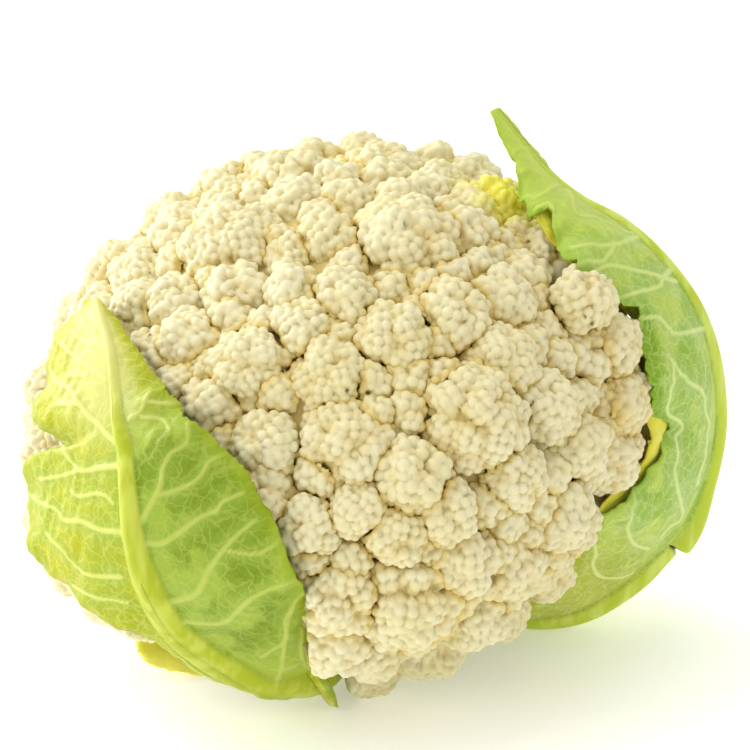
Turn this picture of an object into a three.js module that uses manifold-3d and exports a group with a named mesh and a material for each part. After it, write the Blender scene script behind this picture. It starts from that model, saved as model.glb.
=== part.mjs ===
// A head of cauliflower, trimmed of most of its leaves and lying against the ones it has left.
// Millimetres, +Z up, standing on z = 0. Its top leans to the left (-X) and towards the front (-Y).
// The curd, the stalk and each leaf are solids of their own, with a hair's gap where they touch.

import * as THREE from 'three';
import { mergeVertices } from 'three/addons/utils/BufferGeometryUtils.js';
import Module from 'manifold-3d';

const wasm = await Module();
wasm.setup();

// Head: a spheroid about the line from its stalk to its top.
const HEAD_RADIUS = 89.6;
const HEAD_HALF_HEIGHT = 70.2;
const HEAD_CENTRE = new THREE.Vector3(-13.41, 2.29, 69.5);
const TO_TOP = new THREE.Vector3(-0.27, -0.30, 0.915).normalize();
const GAP = 0.35;
const SLIVER = 0.25;
const SAME_POINT = 1e-4;

// Curd: florets on a core whose underside is a shallow cone, meshed as one skin.
const CORE_SCALE = 0.84;
const CORE_FLOOR_MIDDLE = 34;
const CORE_FLOOR_SLOPE = 0.32;
const SKIN_DETAIL = 19;
const CREASE_REACH = 0.42;
const BEAD_RISE = 0.07;
const BEAD_SLOPE_FROM = 0.85;
const CREASE_STEPS = 10;
const RIM_ANGLE = THREE.MathUtils.degToRad(116);
const RIM_ABOVE_TABLE = 14;
const SPIRAL_TURN = Math.PI * (3 - Math.sqrt(5));
const SPIRALS = [
  { count: 150, radius: 13, rimExtra: 3.5, sunk: 0, spacing: 0.72 },
  { count: 420, radius: 8.5, rimExtra: 1, sunk: 1.5, spacing: 0.66 },
];
const SEED = 2026;

// Stalk: a trunk cut level with the table, and branches out to the florets of the rim. Places are
// [out from the stalk's line, below the head's centre].
const TRUNK_RADIUS = 20.5;
const TRUNK_SIDES = 20;
const TRUNK_CROWN = [[18, 27], [26, 33], [27, 40], [23, 48]];
const TRUNK_NECK = 56;
const TRUNK_FOOT = 100;
const BRANCH_COUNT = 9;
const BRANCH_SIDES = 8;
const BRANCH_RADIUS = 7;
const BRANCH_TAPER = 0.75;
const BRANCH_FROM = [12, 37];
const BRANCH_TO = [60, 18];
const BRANCH_STAGGER = 0.2;

// Leaves.
const BLADE = 0.95;
const RIB_COLUMNS = 2;
const LEAF_CLEARING = 14;

// Florets that face the front, placed along a line of sight that slopes down by SIGHT_SLOPE:
// [to the right, up, radius, how far it stands proud].
const SIGHT_SLOPE = THREE.MathUtils.degToRad(20);
const FLORETS = [
  [-19, 72, 10, 2], [-4, 75, 9, 3], [10, 76, 9, 3], [-29, 62, 11, 2], [-10, 62, 13, 1],
  [15, 64, 14, 1], [29, 69, 9, 2], [41, 68, 11, 2], [45, 56, 12], [-43, 52, 14, 1],
  [-23, 41, 17, 2], [-56, 38, 13, 1], [-67, 26, 13], [-50, 29, 10], [-40, 31, 9],
  [21, 41, 18, 3], [1, 48, 9], [36, 47, 12], [33, 26, 12, 1], [18, 20, 12, 1], [5, 31, 10],
  [-5, 24, 9], [-35, 20, 10], [-18, 13, 13, 1], [-29, 3, 10], [-45, 16, 10], [2, 11, 12],
  [46, 31, 10], [54, 43, 13], [71, 32, 12, 2], [65, 18, 14, 1], [45, 15, 12], [57, 4, 11],
  [73, 5, 11, 1], [65, -6, 10], [78, -8, 13, 3], [83, 12, 12, 4], [36, 0, 16, 3], [6, -6, 13],
  [22, -14, 11, 1], [-15, -6, 10], [-16, -19, 10], [-4, -26, 9], [9, -22, 8], [59, -23, 13],
  [48, -14, 10], [20, -42, 17, 2], [4, -43, 13], [34, -35, 12], [38, -50, 12], [47, -37, 11],
  [58, -39, 12], [18, -28, 9], [31, -23, 9], [28, -61, 12], [2, -57, 10], [48, -53, 10],
  [-73, 6, 11], [-73, -10, 11], [-74, -27, 11], [-70, -40, 11], [-57, 12, 11],
  [62, 38, 11, 1], [86, 21, 10, 4], [86, 1, 11, 4], [80, -20, 11, 2], [71, -24, 11],
];
// Florets off the spheroid, as centre and radius: the one that the head leans on in front, the thick
// one that carries it, and those that swell out to the right leaf's edge.
const PLACED_FLORETS = [
  [[11, -31, -58.5], 12],
  [[12, -30, -45], 18],
  [[78, -24, 15], 11.5],
  [[76, -23, 30], 10],
  [[75, -26, 0], 12],
  [[69, -28, 45], 9],
];

// Each leaf's stations run from its base to its tip: [midrib, left edge, right edge], as seen from
// outside, in millimetres from the head's centre.
const LEFT_LEAF = {
  stations: [
    [[13, 8, -58], [7, 11, -57], [19, 5, -57]],
    [[6, -8, -61], [0, -5, -60], [12, -11, -59]],
    [[0, -24, -62], [-6, -21, -62], [7, -28, -59]],
    [[-4, -36, -62], [-7, -34, -65], [2, -41, -57]],
    [[-10, -43, -60], [-12, -41, -65], [-3, -51, -51]],
    [[-18, -48, -57], [-21, -43, -63], [-4, -64, -38]],
    [[-30, -56, -46], [-35, -52, -53], [-5, -82, -19]],
    [[-40, -65, -33], [-48, -59, -40], [-7, -90, -7]],
    [[-46, -73, -17], [-65, -56, -32], [-14, -89, 9]],
    [[-49, -76, -3], [-77, -42, -26], [-20, -84, 18]],
    [[-50, -74, 9], [-82, -34, -13], [-30, -77, 26]],
    [[-51, -69, 17], [-81, -33, 1], [-36, -71, 29]],
    [[-53, -64, 23], [-70, -43, 8], [-40, -65, 32]],
    [[-54, -58, 28], [-78, -33, 14], [-43, -60, 34]],
    [[-56, -48, 37], [-76, -25, 25], [-49, -49, 38]],
    [[-59, -38, 42], [-71, -20, 35], [-55, -38, 42]],
    [[-61, -31, 46], [-64, -27, 45], [-60, -31, 46]],
  ],
  rows: 38, cells: 5, blade: BLADE, ribHalf: [8, 1.2], ribHigh: [6, 0.8], bulge: [2, 3.5],
  ruffle: 1.3, waves: 9, tooth: 0.7, veinEvery: 4, veinHigh: 0.6,
};
const TORN_STRIP = {
  stations: [
    [[-6, -50, -50], [-9, -49, -50], [-4, -52, -50]],
    [[-2, -50, -57], [-4, -49, -57], [0, -51, -56]],
    [[0, -46, -63], [-2, -45, -63], [2, -47, -62]],
    [[2, -42, -69.2], [1, -41, -69.2], [3, -43, -69.2]],
  ],
  rows: 6, cells: 1, blade: 1.1, ribHalf: [0.8, 0.5], ribHigh: [0.2, 0.1], bulge: [0, 0],
  ruffle: 0, waves: 1, tooth: 0.4, veinEvery: 0, veinHigh: 0,
};
const RIGHT_LEAF = {
  stations: [
    [[30, 22, -58], [29, 13, -58], [31, 31, -58]],
    [[44, 17, -62.5], [43, 2, -59], [47, 31, -59]],
    [[58, 13, -64.6], [55, -12, -51], [61, 32, -58]],
    [[72, 12, -63], [62, -20, -42], [74, 36, -55]],
    [[84, 12, -56.5], [67, -26, -30], [84, 40, -50]],
    [[94, 13, -48], [71, -31, -21], [93, 44, -42]],
    [[103, 14, -38], [76, -34, -14], [99, 45, -32]],
    [[108, 14, -23], [86, -28, -9], [103, 45, -20]],
    [[110, 11, -5], [91, -20, 5], [104, 45, -4]],
    [[108, 9, 14], [87, -28, 19], [102, 43, 13]],
    [[102.5, 9, 30], [85, -22, 32], [96, 39, 22]],
    [[93, 10, 43.5], [77, -20, 44], [87, 37, 34]],
    [[82, 12, 53.5], [66, -27, 53], [79, 35, 43]],
    [[70, 14, 60], [62, -18, 59], [68, 29, 53]],
    [[60.5, 15, 68], [55, -8, 64], [63, 22, 64]],
    [[53, 14, 78], [51, 4, 73], [56, 18, 75]],
    [[46.5, 12, 87], [45, 10, 87], [47.5, 13, 87]],
  ],
  rows: 42, cells: 5, blade: BLADE, ribHalf: [7, 1], ribHigh: [5.5, 0.8], bulge: [4, 3],
  ruffle: 1.2, waves: 11, tooth: 0.8, veinEvery: 4, veinHigh: 0.6,
};
const RIGHT_INNER_LEAF = {
  stations: [
    [[36, 18, -53], [36, 8, -50], [37, 28, -52]],
    [[58, 4, -50], [57, -15, -44], [60, 20, -50]],
    [[73, -2, -38], [63, -29, -30], [75, 18, -38]],
    [[84, -4, -24], [72, -35, -15], [85, 16, -24]],
    [[94, 0, -6], [87, -25, -2], [92, 20, -8]],
    [[96, 0, 8], [88, -23, 9], [93, 20, 8]],
    [[93, 0, 24], [88, -19, 21], [90, 20, 22]],
    [[85, 0, 38], [83, -12, 36], [83, 18, 36]],
    [[73, 0, 50], [69, -18, 49], [72, 16, 49]],
    [[65, 1, 57], [61, -14, 57], [65, 12, 57]],
    [[60, 3, 62], [57, -8, 63], [61, 10, 61]],
  ],
  rows: 20, cells: 3, blade: BLADE, ribHalf: [5, 1.5], ribHigh: [2.5, 0.5], bulge: [3, 3],
  ruffle: 0.4, waves: 5, tooth: 0.9, veinEvery: 4, veinHigh: 0.4,
};
const LOW_LEFT_LEAF = {
  stations: [
    [[6, 19, -60], [5, 24, -58], [8, 13, -59]],
    [[-8, 12, -64], [-10, 18, -61], [-5, 4, -64]],
    [[-20, 5, -66], [-23, 13, -61], [-15, -7, -67]],
    [[-31, -2, -67], [-36, 8, -60], [-25, -17, -68.5]],
    [[-41, -8, -67], [-46, 2, -59], [-35, -21, -69]],
    [[-49, -12, -65], [-52, -3, -60], [-45, -20, -68]],
    [[-54, -15, -64], [-55, -12, -63], [-52, -18, -66]],
  ],
  rows: 12, cells: 3, blade: BLADE, ribHalf: [4, 1], ribHigh: [2.4, 0.6], bulge: [1.5, 1],
  ruffle: 0.4, waves: 3, tooth: 0.7, veinEvery: 3, veinHigh: 0.4,
};

// Cut bases of trimmed leaves: degrees round the stalk from its uphill side, and the midrib's course as
// [below the head's centre, out from the stalk's line].
const STUB_HALF_WIDTH = 9;
const STUB_HOLLOW = 3;
const STUBS = [
  { angle: 116, course: [[62, 14], [63, 28], [62, 41], [58, 52]] },
  { angle: 62, course: [[62, 14], [61, 27], [56, 40], [47, 50]] },
  { angle: 8, course: [[60, 14], [60, 26], [54, 38], [44, 47]] },
];
const STUB_FORM = {
  rows: 7, cells: 1, blade: 2.2, ribHalf: [7, 6], ribHigh: [5, 4], bulge: [0, 0],
  ruffle: 0, waves: 1, tooth: 0, veinEvery: 0, veinHigh: 0,
};

const TABLE = -HEAD_CENTRE.z;
const TABLE_WIDTH = 400;
const TABLE_DEPTH = 100;
const BACK_LEFT = new THREE.Vector3().crossVectors(TO_TOP, new THREE.Vector3(0, 0, 1)).normalize();
const UPHILL = new THREE.Vector3().crossVectors(BACK_LEFT, TO_TOP);

/** The same seeded numbers from 0 to 1 on every run. */
function randomNumbers(seed) {
  let state = seed;
  return () => {
    state = (state + 0x6D2B79F5) | 0;
    let mixed = Math.imul(state ^ (state >>> 15), 1 | state);
    mixed = (mixed + Math.imul(mixed ^ (mixed >>> 7), 61 | mixed)) ^ mixed;
    return ((mixed ^ (mixed >>> 14)) >>> 0) / 4294967296;
  };
}

/** A point so far below the head's centre along the stalk, and so far out from it at an angle round it. */
function roundStalk(below, out, angle) {
  return TO_TOP.clone().multiplyScalar(-below)
    .addScaledVector(UPHILL, out * Math.cos(angle))
    .addScaledVector(BACK_LEFT, out * Math.sin(angle));
}

/** A point in the measure where the head, drawn in by inset, is a ball of radius one. */
function headMeasure(p, inset) {
  const radius = HEAD_RADIUS - inset;
  const along = p.dot(TO_TOP);
  return p.clone().divideScalar(radius)
    .addScaledVector(TO_TOP, along / (HEAD_HALF_HEIGHT - inset) - along / radius);
}

/** The head's outward direction at a point. */
function headNormal(p) {
  const along = p.dot(TO_TOP);
  const flat = p.clone().addScaledVector(TO_TOP, -along).divideScalar(HEAD_RADIUS ** 2);
  return flat.addScaledVector(TO_TOP, along / HEAD_HALF_HEIGHT ** 2).normalize();
}

/** Where the line of sight through (right, up) meets the head drawn in by inset, or else its rim there. */
function onLineOfSight(right, up, inset) {
  const sightUp = new THREE.Vector3(0, Math.sin(SIGHT_SLOPE), Math.cos(SIGHT_SLOPE));
  const toEye = new THREE.Vector3(0, -Math.cos(SIGHT_SLOPE), Math.sin(SIGHT_SLOPE));
  const start = new THREE.Vector3(right, 0, 0).addScaledVector(sightUp, up);
  const from = headMeasure(start, inset);
  const step = headMeasure(toEye, inset);
  const a = step.lengthSq();
  const b = from.dot(step);
  const inside = b * b - a * (from.lengthSq() - 1);
  if (inside >= 0) {
    return start.addScaledVector(toEye, (-b + Math.sqrt(inside)) / a);
  }
  start.addScaledVector(toEye, -b / a);
  return start.divideScalar(headMeasure(start, inset).length());
}

/** Where every floret's centre lies, and its radius. */
function floretSpots() {
  const spots = FLORETS.map(([right, up, radius, proud = 0]) => {
    const centre = onLineOfSight(right, up, radius);
    return { centre: centre.addScaledVector(headNormal(centre), proud), radius };
  });
  for (const [place, radius] of PLACED_FLORETS) {
    spots.push({ centre: new THREE.Vector3(...place), radius });
  }
  const random = randomNumbers(SEED);
  for (const spiral of SPIRALS) {
    for (let i = 0; i < spiral.count; i += 1) {
      const fromTop = Math.acos(1 - 2 * (i + 0.5) / spiral.count);
      const radius = spiral.radius + spiral.rimExtra * fromTop / RIM_ANGLE + 2 * (random() - 0.5);
      const inset = radius + spiral.sunk;
      const below = -(HEAD_HALF_HEIGHT - inset) * Math.cos(fromTop);
      const out = (HEAD_RADIUS - inset) * Math.sin(fromTop);
      const centre = roundStalk(below, out, i * SPIRAL_TURN);
      const crowded = spots.some((spot) => (
        spot.centre.distanceTo(centre) < spiral.spacing * (spot.radius + radius)
      ));
      const low = centre.z - radius < TABLE + RIM_ABOVE_TABLE;
      if (fromTop < RIM_ANGLE && !low && !crowded) {
        spots.push({ centre, radius });
      }
    }
  }
  return spots;
}

/** A geometry's bare points and faces, with points that coincide made one. */
function merge(geometry) {
  const bare = geometry.clone();
  bare.deleteAttribute('normal');
  bare.deleteAttribute('uv');
  return mergeVertices(bare, SAME_POINT);
}

/** A closed geometry as a solid. */
function toSolid(geometry) {
  const merged = merge(geometry);
  const corners = merged.index.array;
  const kept = [];
  for (let i = 0; i < corners.length; i += 3) {
    const [a, b, c] = corners.slice(i, i + 3);
    if (a !== b && b !== c && c !== a) {
      kept.push(a, b, c);
    }
  }
  const mesh = new wasm.Mesh({
    numProp: 3,
    vertProperties: new Float32Array(merged.attributes.position.array),
    triVerts: new Uint32Array(kept),
  });
  return new wasm.Manifold(mesh);
}

/** The largest single body of a solid, without slivers, as a geometry. */
function toGeometry(solid) {
  const bodies = solid.decompose().sort((a, b) => b.volume() - a.volume());
  const mesh = bodies[0].simplify(SLIVER).getMesh();
  const geometry = new THREE.BufferGeometry();
  geometry.setAttribute('position', new THREE.BufferAttribute(mesh.vertProperties, 3));
  geometry.setIndex(new THREE.BufferAttribute(mesh.triVerts, 1));
  geometry.computeVertexNormals();
  return geometry;
}

/** The farthest point of the curd from the head's centre in a direction, and the floret that it is on. */
function curdReach(direction, spots) {
  const down = -direction.dot(TO_TOP);
  const sideways = Math.sqrt(Math.max(0, 1 - down * down));
  let reach = CORE_SCALE / headMeasure(direction, 0).length();
  if (down > 0) {
    reach = Math.min(reach, CORE_FLOOR_MIDDLE / (down + CORE_FLOOR_SLOPE * sideways));
  }
  let owner = null;
  for (const spot of spots) {
    const along = direction.dot(spot.centre);
    const inside = along * along - spot.centre.lengthSq() + spot.radius ** 2;
    if (along > 0 && inside > 0 && along + Math.sqrt(inside) > reach) {
      reach = along + Math.sqrt(inside);
      owner = spot;
    }
  }
  return { reach, owner };
}

/** The direction between two others where the floret changes, as [share of the way, direction]. */
function creaseBetween(from, to, owner, spots) {
  let low = 0;
  let high = 1;
  const direction = new THREE.Vector3();
  for (let i = 0; i < CREASE_STEPS; i += 1) {
    const middle = (low + high) / 2;
    direction.lerpVectors(from, to, middle).normalize();
    if (curdReach(direction, spots).owner === owner) {
      low = middle;
    } else {
      high = middle;
    }
  }
  return [low, direction.lerpVectors(from, to, low).normalize()];
}

/** One closed skin over the core and all its florets, with its edges drawn onto the creases between them. */
function curdGeometry(spots, random) {
  const skin = merge(new THREE.IcosahedronGeometry(1, SKIN_DETAIL));
  const places = skin.attributes.position;
  const corners = skin.index.array;
  const directions = [];
  for (let i = 0; i < places.count; i += 1) {
    const direction = new THREE.Vector3().fromBufferAttribute(places, i);
    const along = direction.dot(TO_TOP);
    direction.addScaledVector(TO_TOP, along * (HEAD_HALF_HEIGHT / HEAD_RADIUS - 1));
    directions.push(direction.normalize());
  }
  const neighbours = directions.map(() => new Set());
  for (let i = 0; i < corners.length; i += 3) {
    for (const [a, b] of [[0, 1], [1, 2], [2, 0]]) {
      neighbours[corners[i + a]].add(corners[i + b]);
      neighbours[corners[i + b]].add(corners[i + a]);
    }
  }
  const owners = directions.map((direction) => curdReach(direction, spots).owner);
  const beads = spots.map(() => {
    const turn = new THREE.Euler(6 * random(), 6 * random(), 6 * random());
    const corner = new THREE.IcosahedronGeometry(1, 0).attributes.position;
    return Array.from({ length: corner.count }, (_, k) => (
      new THREE.Vector3().fromBufferAttribute(corner, k).applyEuler(turn)
    ));
  });
  directions.forEach((direction, i) => {
    let nearest = [CREASE_REACH, null];
    for (const k of neighbours[i]) {
      if (owners[k] !== owners[i]) {
        const crease = creaseBetween(direction, directions[k], owners[i], spots);
        nearest = crease[0] < nearest[0] ? crease : nearest;
      }
    }
    const drawn = nearest[1] ?? direction;
    const { reach, owner } = curdReach(drawn, spots);
    const p = drawn.clone().multiplyScalar(reach);
    if (nearest[1] === null && owner !== null) {
      const outward = p.clone().sub(owner.centre).divideScalar(owner.radius);
      const closeness = Math.max(...beads[spots.indexOf(owner)].map((bead) => bead.dot(outward)));
      const slope = (closeness - BEAD_SLOPE_FROM) / (1 - BEAD_SLOPE_FROM);
      p.addScaledVector(outward, BEAD_RISE * owner.radius * slope);
    }
    places.setXYZ(i, p.x, p.y, p.z);
  });
  return skin;
}

/** Turns a geometry made about +Y so that +Y lies along a direction, and moves it. */
function aim(geometry, direction, place) {
  const turn = new THREE.Quaternion().setFromUnitVectors(new THREE.Vector3(0, 1, 0), direction);
  return geometry.applyQuaternion(turn).translate(place.x, place.y, place.z);
}

/** The stalk before its foot is cut: the trunk and its branches, widened all round by grow. */
function stalkSolid(grow = 0) {
  const profile = [
    [0, TRUNK_CROWN[0][1] - grow],
    ...TRUNK_CROWN.map(([out, below], i) => [out + grow, i === 0 ? below - grow : below]),
    [TRUNK_RADIUS + grow, TRUNK_NECK],
    [TRUNK_RADIUS + grow, TRUNK_FOOT],
    [0, TRUNK_FOOT],
  ];
  const outline = profile.map(([out, below]) => new THREE.Vector2(out, -below)).reverse();
  const lathe = new THREE.LatheGeometry(outline, TRUNK_SIDES);
  let stalk = toSolid(aim(lathe, TO_TOP, new THREE.Vector3()));
  for (let i = 0; i < BRANCH_COUNT; i += 1) {
    const angle = 2 * Math.PI * (i + BRANCH_STAGGER * (i % 2)) / BRANCH_COUNT;
    const inner = roundStalk(BRANCH_FROM[1], BRANCH_FROM[0], angle);
    const outer = roundStalk(BRANCH_TO[1], BRANCH_TO[0] + grow, angle);
    const branch = new THREE.CylinderGeometry(
      BRANCH_TAPER * BRANCH_RADIUS + grow,
      BRANCH_RADIUS + grow,
      inner.distanceTo(outer),
      BRANCH_SIDES,
    );
    const direction = outer.clone().sub(inner).normalize();
    stalk = stalk.add(toSolid(aim(branch, direction, inner.add(outer).multiplyScalar(0.5))));
  }
  return stalk;
}

/** One leaf's middle surface: rows of points from its base to its tip, each from left edge to right. */
function leafRows(leaf, grow) {
  const [rib, ...edges] = [0, 1, 2].map((k) => {
    const points = leaf.stations.map((station) => new THREE.Vector3(...station[k]));
    return new THREE.CatmullRomCurve3(points, false, 'catmullrom');
  });
  const columns = RIB_COLUMNS + leaf.cells;
  const rows = [];
  for (let i = 0; i <= leaf.rows; i += 1) {
    const s = i / leaf.rows;
    const ribHalf = THREE.MathUtils.lerp(...leaf.ribHalf, s);
    const middle = rib.getPoint(s);
    const row = [];
    for (let j = -columns; j <= columns; j += 1) {
      const side = j < 0 ? 0 : 1;
      const edge = edges[side].getPoint(s);
      const k = Math.abs(j);
      const width = edge.distanceTo(middle);
      const ribWidth = Math.min(ribHalf, 0.6 * width);
      let out = ribWidth * k / RIB_COLUMNS;
      if (k > RIB_COLUMNS) {
        out = ribWidth + (width - ribWidth) * (k - RIB_COLUMNS) / leaf.cells;
      }
      if (k === columns) {
        out += grow + leaf.tooth * (i % 2 === 0 ? 0.5 : -0.5) * Math.min(1, width / 10);
      }
      const bend = middle.clone().add(edge).multiplyScalar(0.5);
      bend.addScaledVector(headNormal(bend), 2 * leaf.bulge[side] * Math.min(1, width / 30));
      const across = new THREE.QuadraticBezierCurve3(middle, bend, edge);
      const t = out / width;
      const ruffle = leaf.ruffle * Math.min(1, width / 20) * t * t
        * Math.sin(2 * Math.PI * leaf.waves * s + 2 * side);
      const p = across.getPoint(t);
      row.push({ p: p.addScaledVector(headNormal(p), ruffle), across: out, ribWidth });
    }
    rows.push(row);
  }
  if (grow > 0) {
    for (let j = 0; j <= 2 * columns; j += 1) {
      const first = rows[0][j].p.clone().sub(rows[1][j].p).setLength(grow);
      const last = rows[leaf.rows][j].p.clone().sub(rows[leaf.rows - 1][j].p).setLength(grow);
      rows[0][j].p.add(first);
      rows[leaf.rows][j].p.add(last);
    }
  }
  return rows;
}

/** How high a leaf's outer side stands above its blade at a row and column: its midrib and side veins. */
function reliefHeight(leaf, i, column, spot) {
  const high = THREE.MathUtils.lerp(...leaf.ribHigh, i / leaf.rows);
  const part = spot.across / spot.ribWidth;
  if (part < 1) {
    return high * Math.sqrt(1 - part * part);
  }
  const onVein = leaf.veinEvery > 0 && (i - column) % leaf.veinEvery === 0;
  return onVein && column < RIB_COLUMNS + leaf.cells ? leaf.veinHigh : 0;
}

/** A leaf as a closed solid, widened all round by grow and thickened on its outer side by reach. */
function leafSolid(leaf, grow = 0, reach = 0) {
  const rows = leafRows(leaf, grow);
  const columns = RIB_COLUMNS + leaf.cells;
  const count = 2 * columns + 1;
  const outer = [];
  const inner = [];
  rows.forEach((row, i) => row.forEach((spot, j) => {
    const along = rows[Math.min(i + 1, leaf.rows)][j].p.clone().sub(rows[Math.max(i - 1, 0)][j].p);
    const across = row[Math.min(j + 1, count - 1)].p.clone().sub(row[Math.max(j - 1, 0)].p);
    const normal = across.cross(along).normalize();
    const rise = leaf.blade / 2 + reliefHeight(leaf, i, Math.abs(j - columns), spot);
    const top = spot.p.clone().addScaledVector(normal, rise + grow + reach);
    const bottom = spot.p.clone().addScaledVector(normal, -leaf.blade / 2 - grow);
    if (reach === 0) {
      top.z = Math.max(top.z, TABLE);
    }
    bottom.z = Math.max(bottom.z, TABLE + leaf.blade + grow);
    outer.push(top);
    inner.push(bottom);
  }));
  const places = [...outer, ...inner].flatMap((p) => [p.x, p.y, p.z]);
  const triangles = [];
  const offset = outer.length;
  const face = (a, b, c) => {
    triangles.push(a, b, c, offset + a, offset + c, offset + b);
  };
  for (let i = 0; i < leaf.rows; i += 1) {
    for (let j = 0; j < count - 1; j += 1) {
      const a = i * count + j;
      const b = a + 1;
      const c = b + count;
      const d = a + count;
      if (j >= columns) {
        face(a, b, c);
        face(a, c, d);
      } else {
        face(a, b, d);
        face(b, c, d);
      }
    }
  }
  const acrossRow = Array.from({ length: count }, (_, j) => j);
  const alongEdge = Array.from({ length: leaf.rows - 1 }, (_, i) => (i + 1) * count);
  const border = [
    ...acrossRow,
    ...alongEdge.map((a) => a + count - 1),
    ...acrossRow.map((a) => leaf.rows * count + a).reverse(),
    ...alongEdge.reverse(),
  ];
  border.forEach((a, k) => {
    const b = border[(k + 1) % border.length];
    triangles.push(b, a, offset + a, b, offset + a, offset + b);
  });
  const geometry = new THREE.BufferGeometry();
  geometry.setAttribute('position', new THREE.Float32BufferAttribute(places, 3));
  geometry.setIndex(triangles);
  return toSolid(geometry);
}

/** The cut base of a leaf that was trimmed away. */
function stubLeaf({ angle, course }) {
  const round = THREE.MathUtils.degToRad(angle);
  const side = new THREE.Vector3().crossVectors(TO_TOP, roundStalk(0, 1, round));
  const stations = course.map(([below, out]) => {
    const rib = roundStalk(below, out, round);
    const edges = [-STUB_HALF_WIDTH, STUB_HALF_WIDTH].map((width) => (
      rib.clone().addScaledVector(side, width).addScaledVector(TO_TOP, STUB_HOLLOW)
    ));
    return [rib.toArray(), ...edges.map((edge) => edge.toArray())];
  });
  return { ...STUB_FORM, stations };
}

const belowTable = toSolid(
  new THREE.BoxGeometry(TABLE_WIDTH, TABLE_WIDTH, TABLE_DEPTH).translate(0, 0, TABLE - TABLE_DEPTH / 2),
);
const stalkRoom = stalkSolid(GAP);
const stalk = stalkSolid().subtract(belowTable);

const rightLeaf = leafSolid(RIGHT_LEAF).subtract(stalkRoom);
const rightInnerLeaf = leafSolid(RIGHT_INNER_LEAF).subtract(stalkRoom).subtract(leafSolid(RIGHT_LEAF, GAP));
const leftLeaf = leafSolid(LEFT_LEAF).add(leafSolid(TORN_STRIP)).subtract(stalkRoom);
const lowLeftLeaf = leafSolid(LOW_LEFT_LEAF).subtract(stalkRoom).subtract(leafSolid(LEFT_LEAF, GAP));
const stubs = STUBS.map((stub) => leafSolid(stubLeaf(stub)).subtract(stalkRoom)
  .subtract(leafSolid(LOW_LEFT_LEAF, GAP)).subtract(leafSolid(RIGHT_LEAF, GAP)));

let curd = toSolid(curdGeometry(floretSpots(), randomNumbers(SEED + 1)));
for (const leaf of [LEFT_LEAF, TORN_STRIP, RIGHT_LEAF, RIGHT_INNER_LEAF, LOW_LEFT_LEAF]) {
  curd = curd.subtract(leafSolid(leaf, GAP, LEAF_CLEARING)).subtract(leafSolid(leaf, GAP));
}
for (const stub of STUBS) {
  curd = curd.subtract(leafSolid(stubLeaf(stub), GAP));
}
curd = curd.subtract(stalkRoom).subtract(belowTable);

const cream = { color: 0xf2e6c4, roughness: 0.75, metalness: 0 };
const paleGreen = { color: 0xdfe6b0, roughness: 0.6, metalness: 0 };
const leafGreen = { color: 0xa9c94a, roughness: 0.5, metalness: 0 };
const yellow = { color: 0xe6e08a, roughness: 0.55, metalness: 0 };

const pieces = [
  ['curd', curd, cream],
  ['stalk', stalk, paleGreen],
  ['leaf_left', leftLeaf, leafGreen],
  ['leaf_right', rightLeaf, leafGreen],
  ['leaf_right_inner', rightInnerLeaf, yellow],
  ['leaf_low_left', lowLeftLeaf, yellow],
  ...stubs.map((stub, i) => [`petiole_stub_${i + 1}`, stub, paleGreen]),
];

const head = new THREE.Group();
head.position.copy(HEAD_CENTRE);
for (const [name, solid, look] of pieces) {
  const mesh = new THREE.Mesh(toGeometry(solid), new THREE.MeshStandardMaterial(look));
  mesh.name = name;
  head.add(mesh);
}

export default head;
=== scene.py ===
"""A head of cauliflower, trimmed of most of its leaves and lying against the ones it has left.

Shapes are worked out in millimetres from the head's centre, with +Z up, and turned into metres in the
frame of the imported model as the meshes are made.
"""
import math

import bpy
import numpy as np
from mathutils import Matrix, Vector
from mathutils.bvhtree import BVHTree
from mathutils.kdtree import KDTree


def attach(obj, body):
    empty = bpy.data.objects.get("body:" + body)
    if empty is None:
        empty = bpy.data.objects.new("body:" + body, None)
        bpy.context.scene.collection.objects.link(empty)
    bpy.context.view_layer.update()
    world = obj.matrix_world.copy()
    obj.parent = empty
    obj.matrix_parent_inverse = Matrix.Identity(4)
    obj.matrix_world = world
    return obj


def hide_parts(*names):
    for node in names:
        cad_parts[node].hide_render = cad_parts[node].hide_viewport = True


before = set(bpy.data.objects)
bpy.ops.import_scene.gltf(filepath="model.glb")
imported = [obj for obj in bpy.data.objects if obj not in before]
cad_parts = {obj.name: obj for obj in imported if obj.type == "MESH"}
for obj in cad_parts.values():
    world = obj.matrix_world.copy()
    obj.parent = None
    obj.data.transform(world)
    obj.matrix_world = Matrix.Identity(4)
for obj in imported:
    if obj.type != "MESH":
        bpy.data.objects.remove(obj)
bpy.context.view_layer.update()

MM = 0.001

# Head: a spheroid about the line from its stalk to its top.
HEAD_RADIUS = 89.6
HEAD_HALF_HEIGHT = 70.2
HEAD_CENTRE = np.array([-13.41, 2.29, 69.5])
LEAN = np.array([-0.27, -0.30, 0.915])
TO_TOP = LEAN / np.linalg.norm(LEAN)
TABLE = -HEAD_CENTRE[2]
ACROSS = np.cross(TO_TOP, [0, 0, 1])
BACK_LEFT = ACROSS / np.linalg.norm(ACROSS)
UPHILL = np.cross(BACK_LEFT, TO_TOP)

# Curd: florets on a core whose underside is a shallow cone. The core and the flesh that is swollen up
# between the florets are shares of the head's size.
CORE_SCALE = 0.84
CORE_MARGIN = 0.02
FLESH_SCALE = 0.885
FLESH_SUNK = 0.6
FLESH_LUMP = 0.9
FLESH_LUMP_SIZE = 8
CORE_FLOOR_MIDDLE = 34
CORE_FLOOR_SLOPE = 0.32
CORE_FLOOR_RAISED = 1.2
RIM_ANGLE = math.radians(116)
RIM_ABOVE_TABLE = 14

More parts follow.
